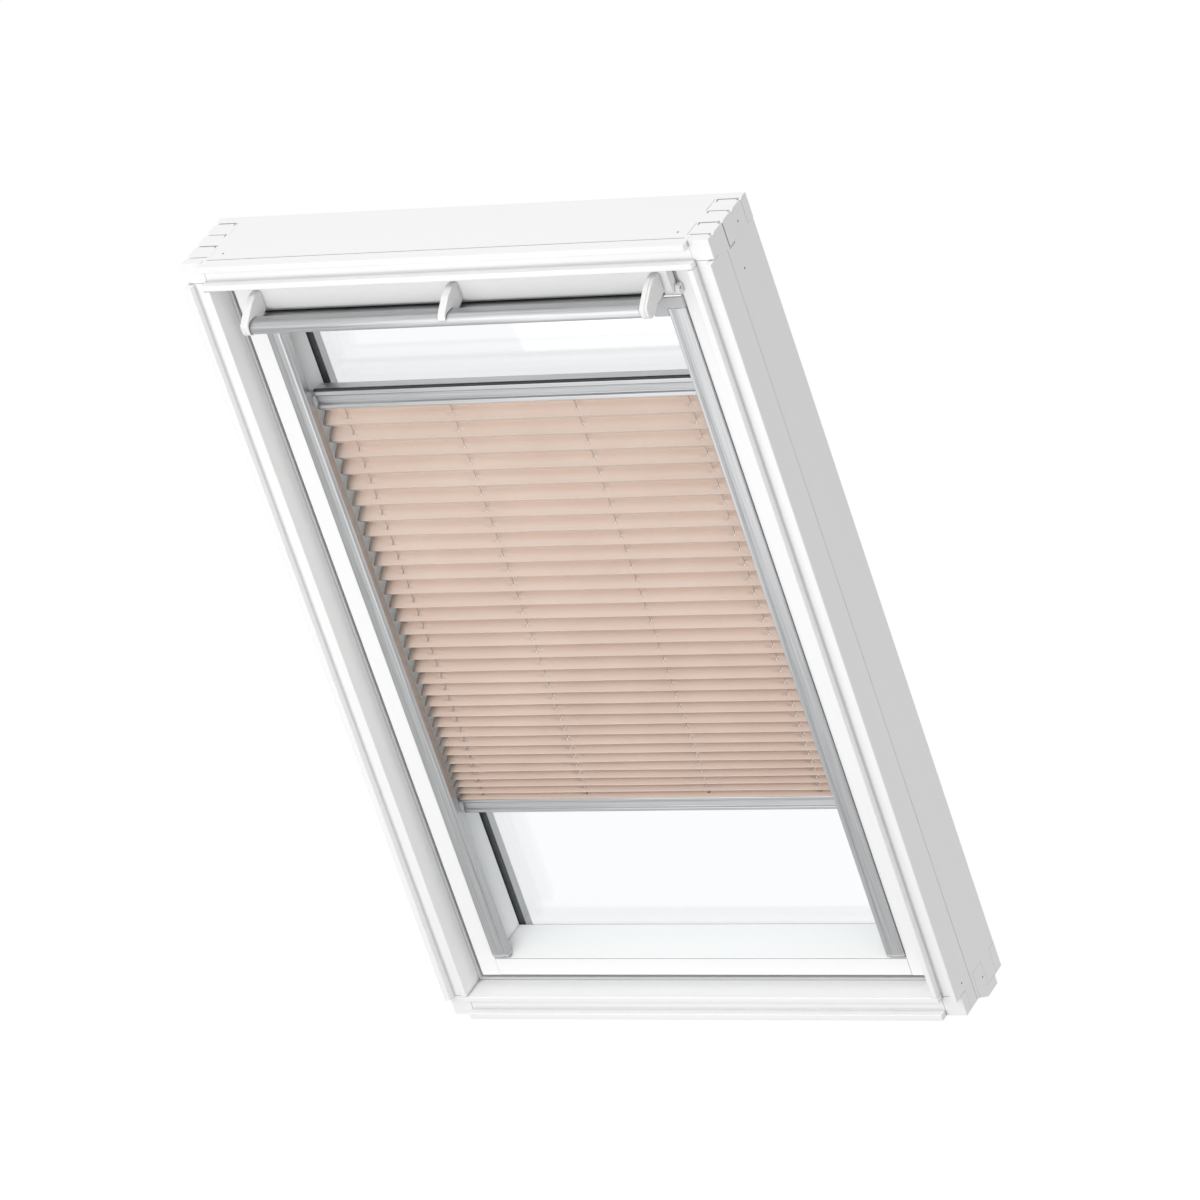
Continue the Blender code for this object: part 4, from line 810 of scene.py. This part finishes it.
# %% [markdown]
# ## The cloth's finish
# The fabric is a plain-woven polyester in a warm sand colour, with a matt face and a soft sheen at
# grazing angles. The real threads are 0.25 mm apart, too fine to show from here, so the weave is drawn
# at 0.6 mm, with a slow unevenness in the dye over it. Two crossed wave textures make the weave.

# %% Make the fabric material
THREAD = 0.0006
WEAVE_SCALE = math.pi / (10 * THREAD)  # a wave texture repeats every pi / (10 * scale)
WEAVE_SHARE = 0.25
WEAVE_HEIGHT = 0.0001
DYE_PATCHES = 9.0  # in a metre

woven, tree, shader = new_finish(
    "woven_polyester", Roughness=0.85, Sheen_Weight=0.25, Sheen_Roughness=0.5,
    Specular_IOR_Level=0.3,
)
place = add_node(tree, "ShaderNodeTexCoord")
warp, weft = [
    add_node(tree, "ShaderNodeTexWave", {
        "Vector": (place, "Object"), "Scale": WEAVE_SCALE, "Distortion": 0.6, "Detail": 2.0,
    }, bands_direction=direction)
    for direction in "XZ"
]
weave = add_node(
    tree, "ShaderNodeMath", {0: (warp, "Fac"), 1: (weft, "Fac")}, operation="MULTIPLY"
)
dye = add_node(
    tree, "ShaderNodeTexNoise", {"Vector": (place, "Object"), "Scale": DYE_PATCHES, "Detail": 3.0}
)
both = add_node(
    tree, "ShaderNodeMath", {0: (weave, 0), 1: WEAVE_SHARE, 2: (dye, "Fac")},
    operation="MULTIPLY_ADD",
)
colour = add_ramp(tree, (both, 0), "DAC6B9", "E1CFC3", 0.30, 0.85)
relief = add_node(
    tree, "ShaderNodeBump", {"Height": (weave, 0), "Distance": WEAVE_HEIGHT, "Strength": 0.4}
)
tree.links.new(colour.outputs["Color"], shader.inputs["Base Color"])
tree.links.new(relief.outputs["Normal"], shader.inputs["Normal"])
print("weave drawn at", THREAD * 1000, "mm")

# %% [markdown]
# ## Hanging the pleats
# Both rails slide, but here the pleats are not tied to them. The pleats are made one at a time, from
# the still crease in the middle upwards and downwards, each with the cloth's finish, and the
# construction model's sheet is hidden.

# %% Hang the cloth between the rails
STILL_CREASE = 13


def hang(creases):
    """Makes the pleats from the still crease outwards, each with the cloth's finish."""
    for step, (near, far) in enumerate(zip(creases, creases[1:])):
        index = min(near, far)
        piece = pleat(f"cloth_pleat_{index + 1:02d}", index)
        piece.data.materials.append(woven)
        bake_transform(piece)
        if index == 0:
            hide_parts("pleated_fabric")


hang(list(range(STILL_CREASE, -1, -1)))
hang(list(range(STILL_CREASE, PLEATS + 1)))
print("pleats hung:", PLEATS, "each", round(2 * FACET * 1000), "mm when flat")

# %% [markdown]
# ## The cords through the pleats
# Four thin cords run from rail to rail through slots in the facets and keep the sheet flat. They show
# as short ticks between one facet and the next. A curve with a round section would make them too, but
# they are dead straight, so a thin cylinder is enough.

# %% Run the cords
CORD_RADIUS = 0.0005
CORD_SIDES = 8
BRAID_SCALE = 300

cord_finish, tree, shader = new_finish("braided_polyester_cord", Roughness=0.8)
place = add_node(tree, "ShaderNodeTexCoord")
braid = add_node(tree, "ShaderNodeTexWave", {
    "Vector": (place, "Object"), "Scale": BRAID_SCALE, "Distortion": 1.0,
}, bands_direction="DIAGONAL")
colour = add_ramp(tree, (braid, "Fac"), "A8958A", "C0AEA3")
tree.links.new(colour.outputs["Color"], shader.inputs["Base Color"])

still = ridges[STILL_CREASE]
for label, body, near, far in (
    ("upper", "blind_top", still, top_edge), ("lower", "blind_bottom", still, bottom_edge)
):
    shape = bmesh.new()
    for x in CORDS:
        ring = bmesh.ops.create_cone(
            shape, cap_ends=True, segments=CORD_SIDES, radius1=CORD_RADIUS, radius2=CORD_RADIUS,
            depth=abs(far - near),
        )
        bmesh.ops.translate(shape, vec=(x, CLOTH_Y, (near + far) / 2), verts=ring["verts"])
    piece = add_piece(f"cords_{label}", shape, cord_finish)
    piece.data.shade_smooth()
    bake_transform(piece)
print("cords run at", CORDS)

# %% [markdown]
# ## Finish
# The picture uses the Standard view transform, so a colour shows as it was written.

# %% Set the view transform
bpy.context.scene.view_settings.view_transform = "Standard"
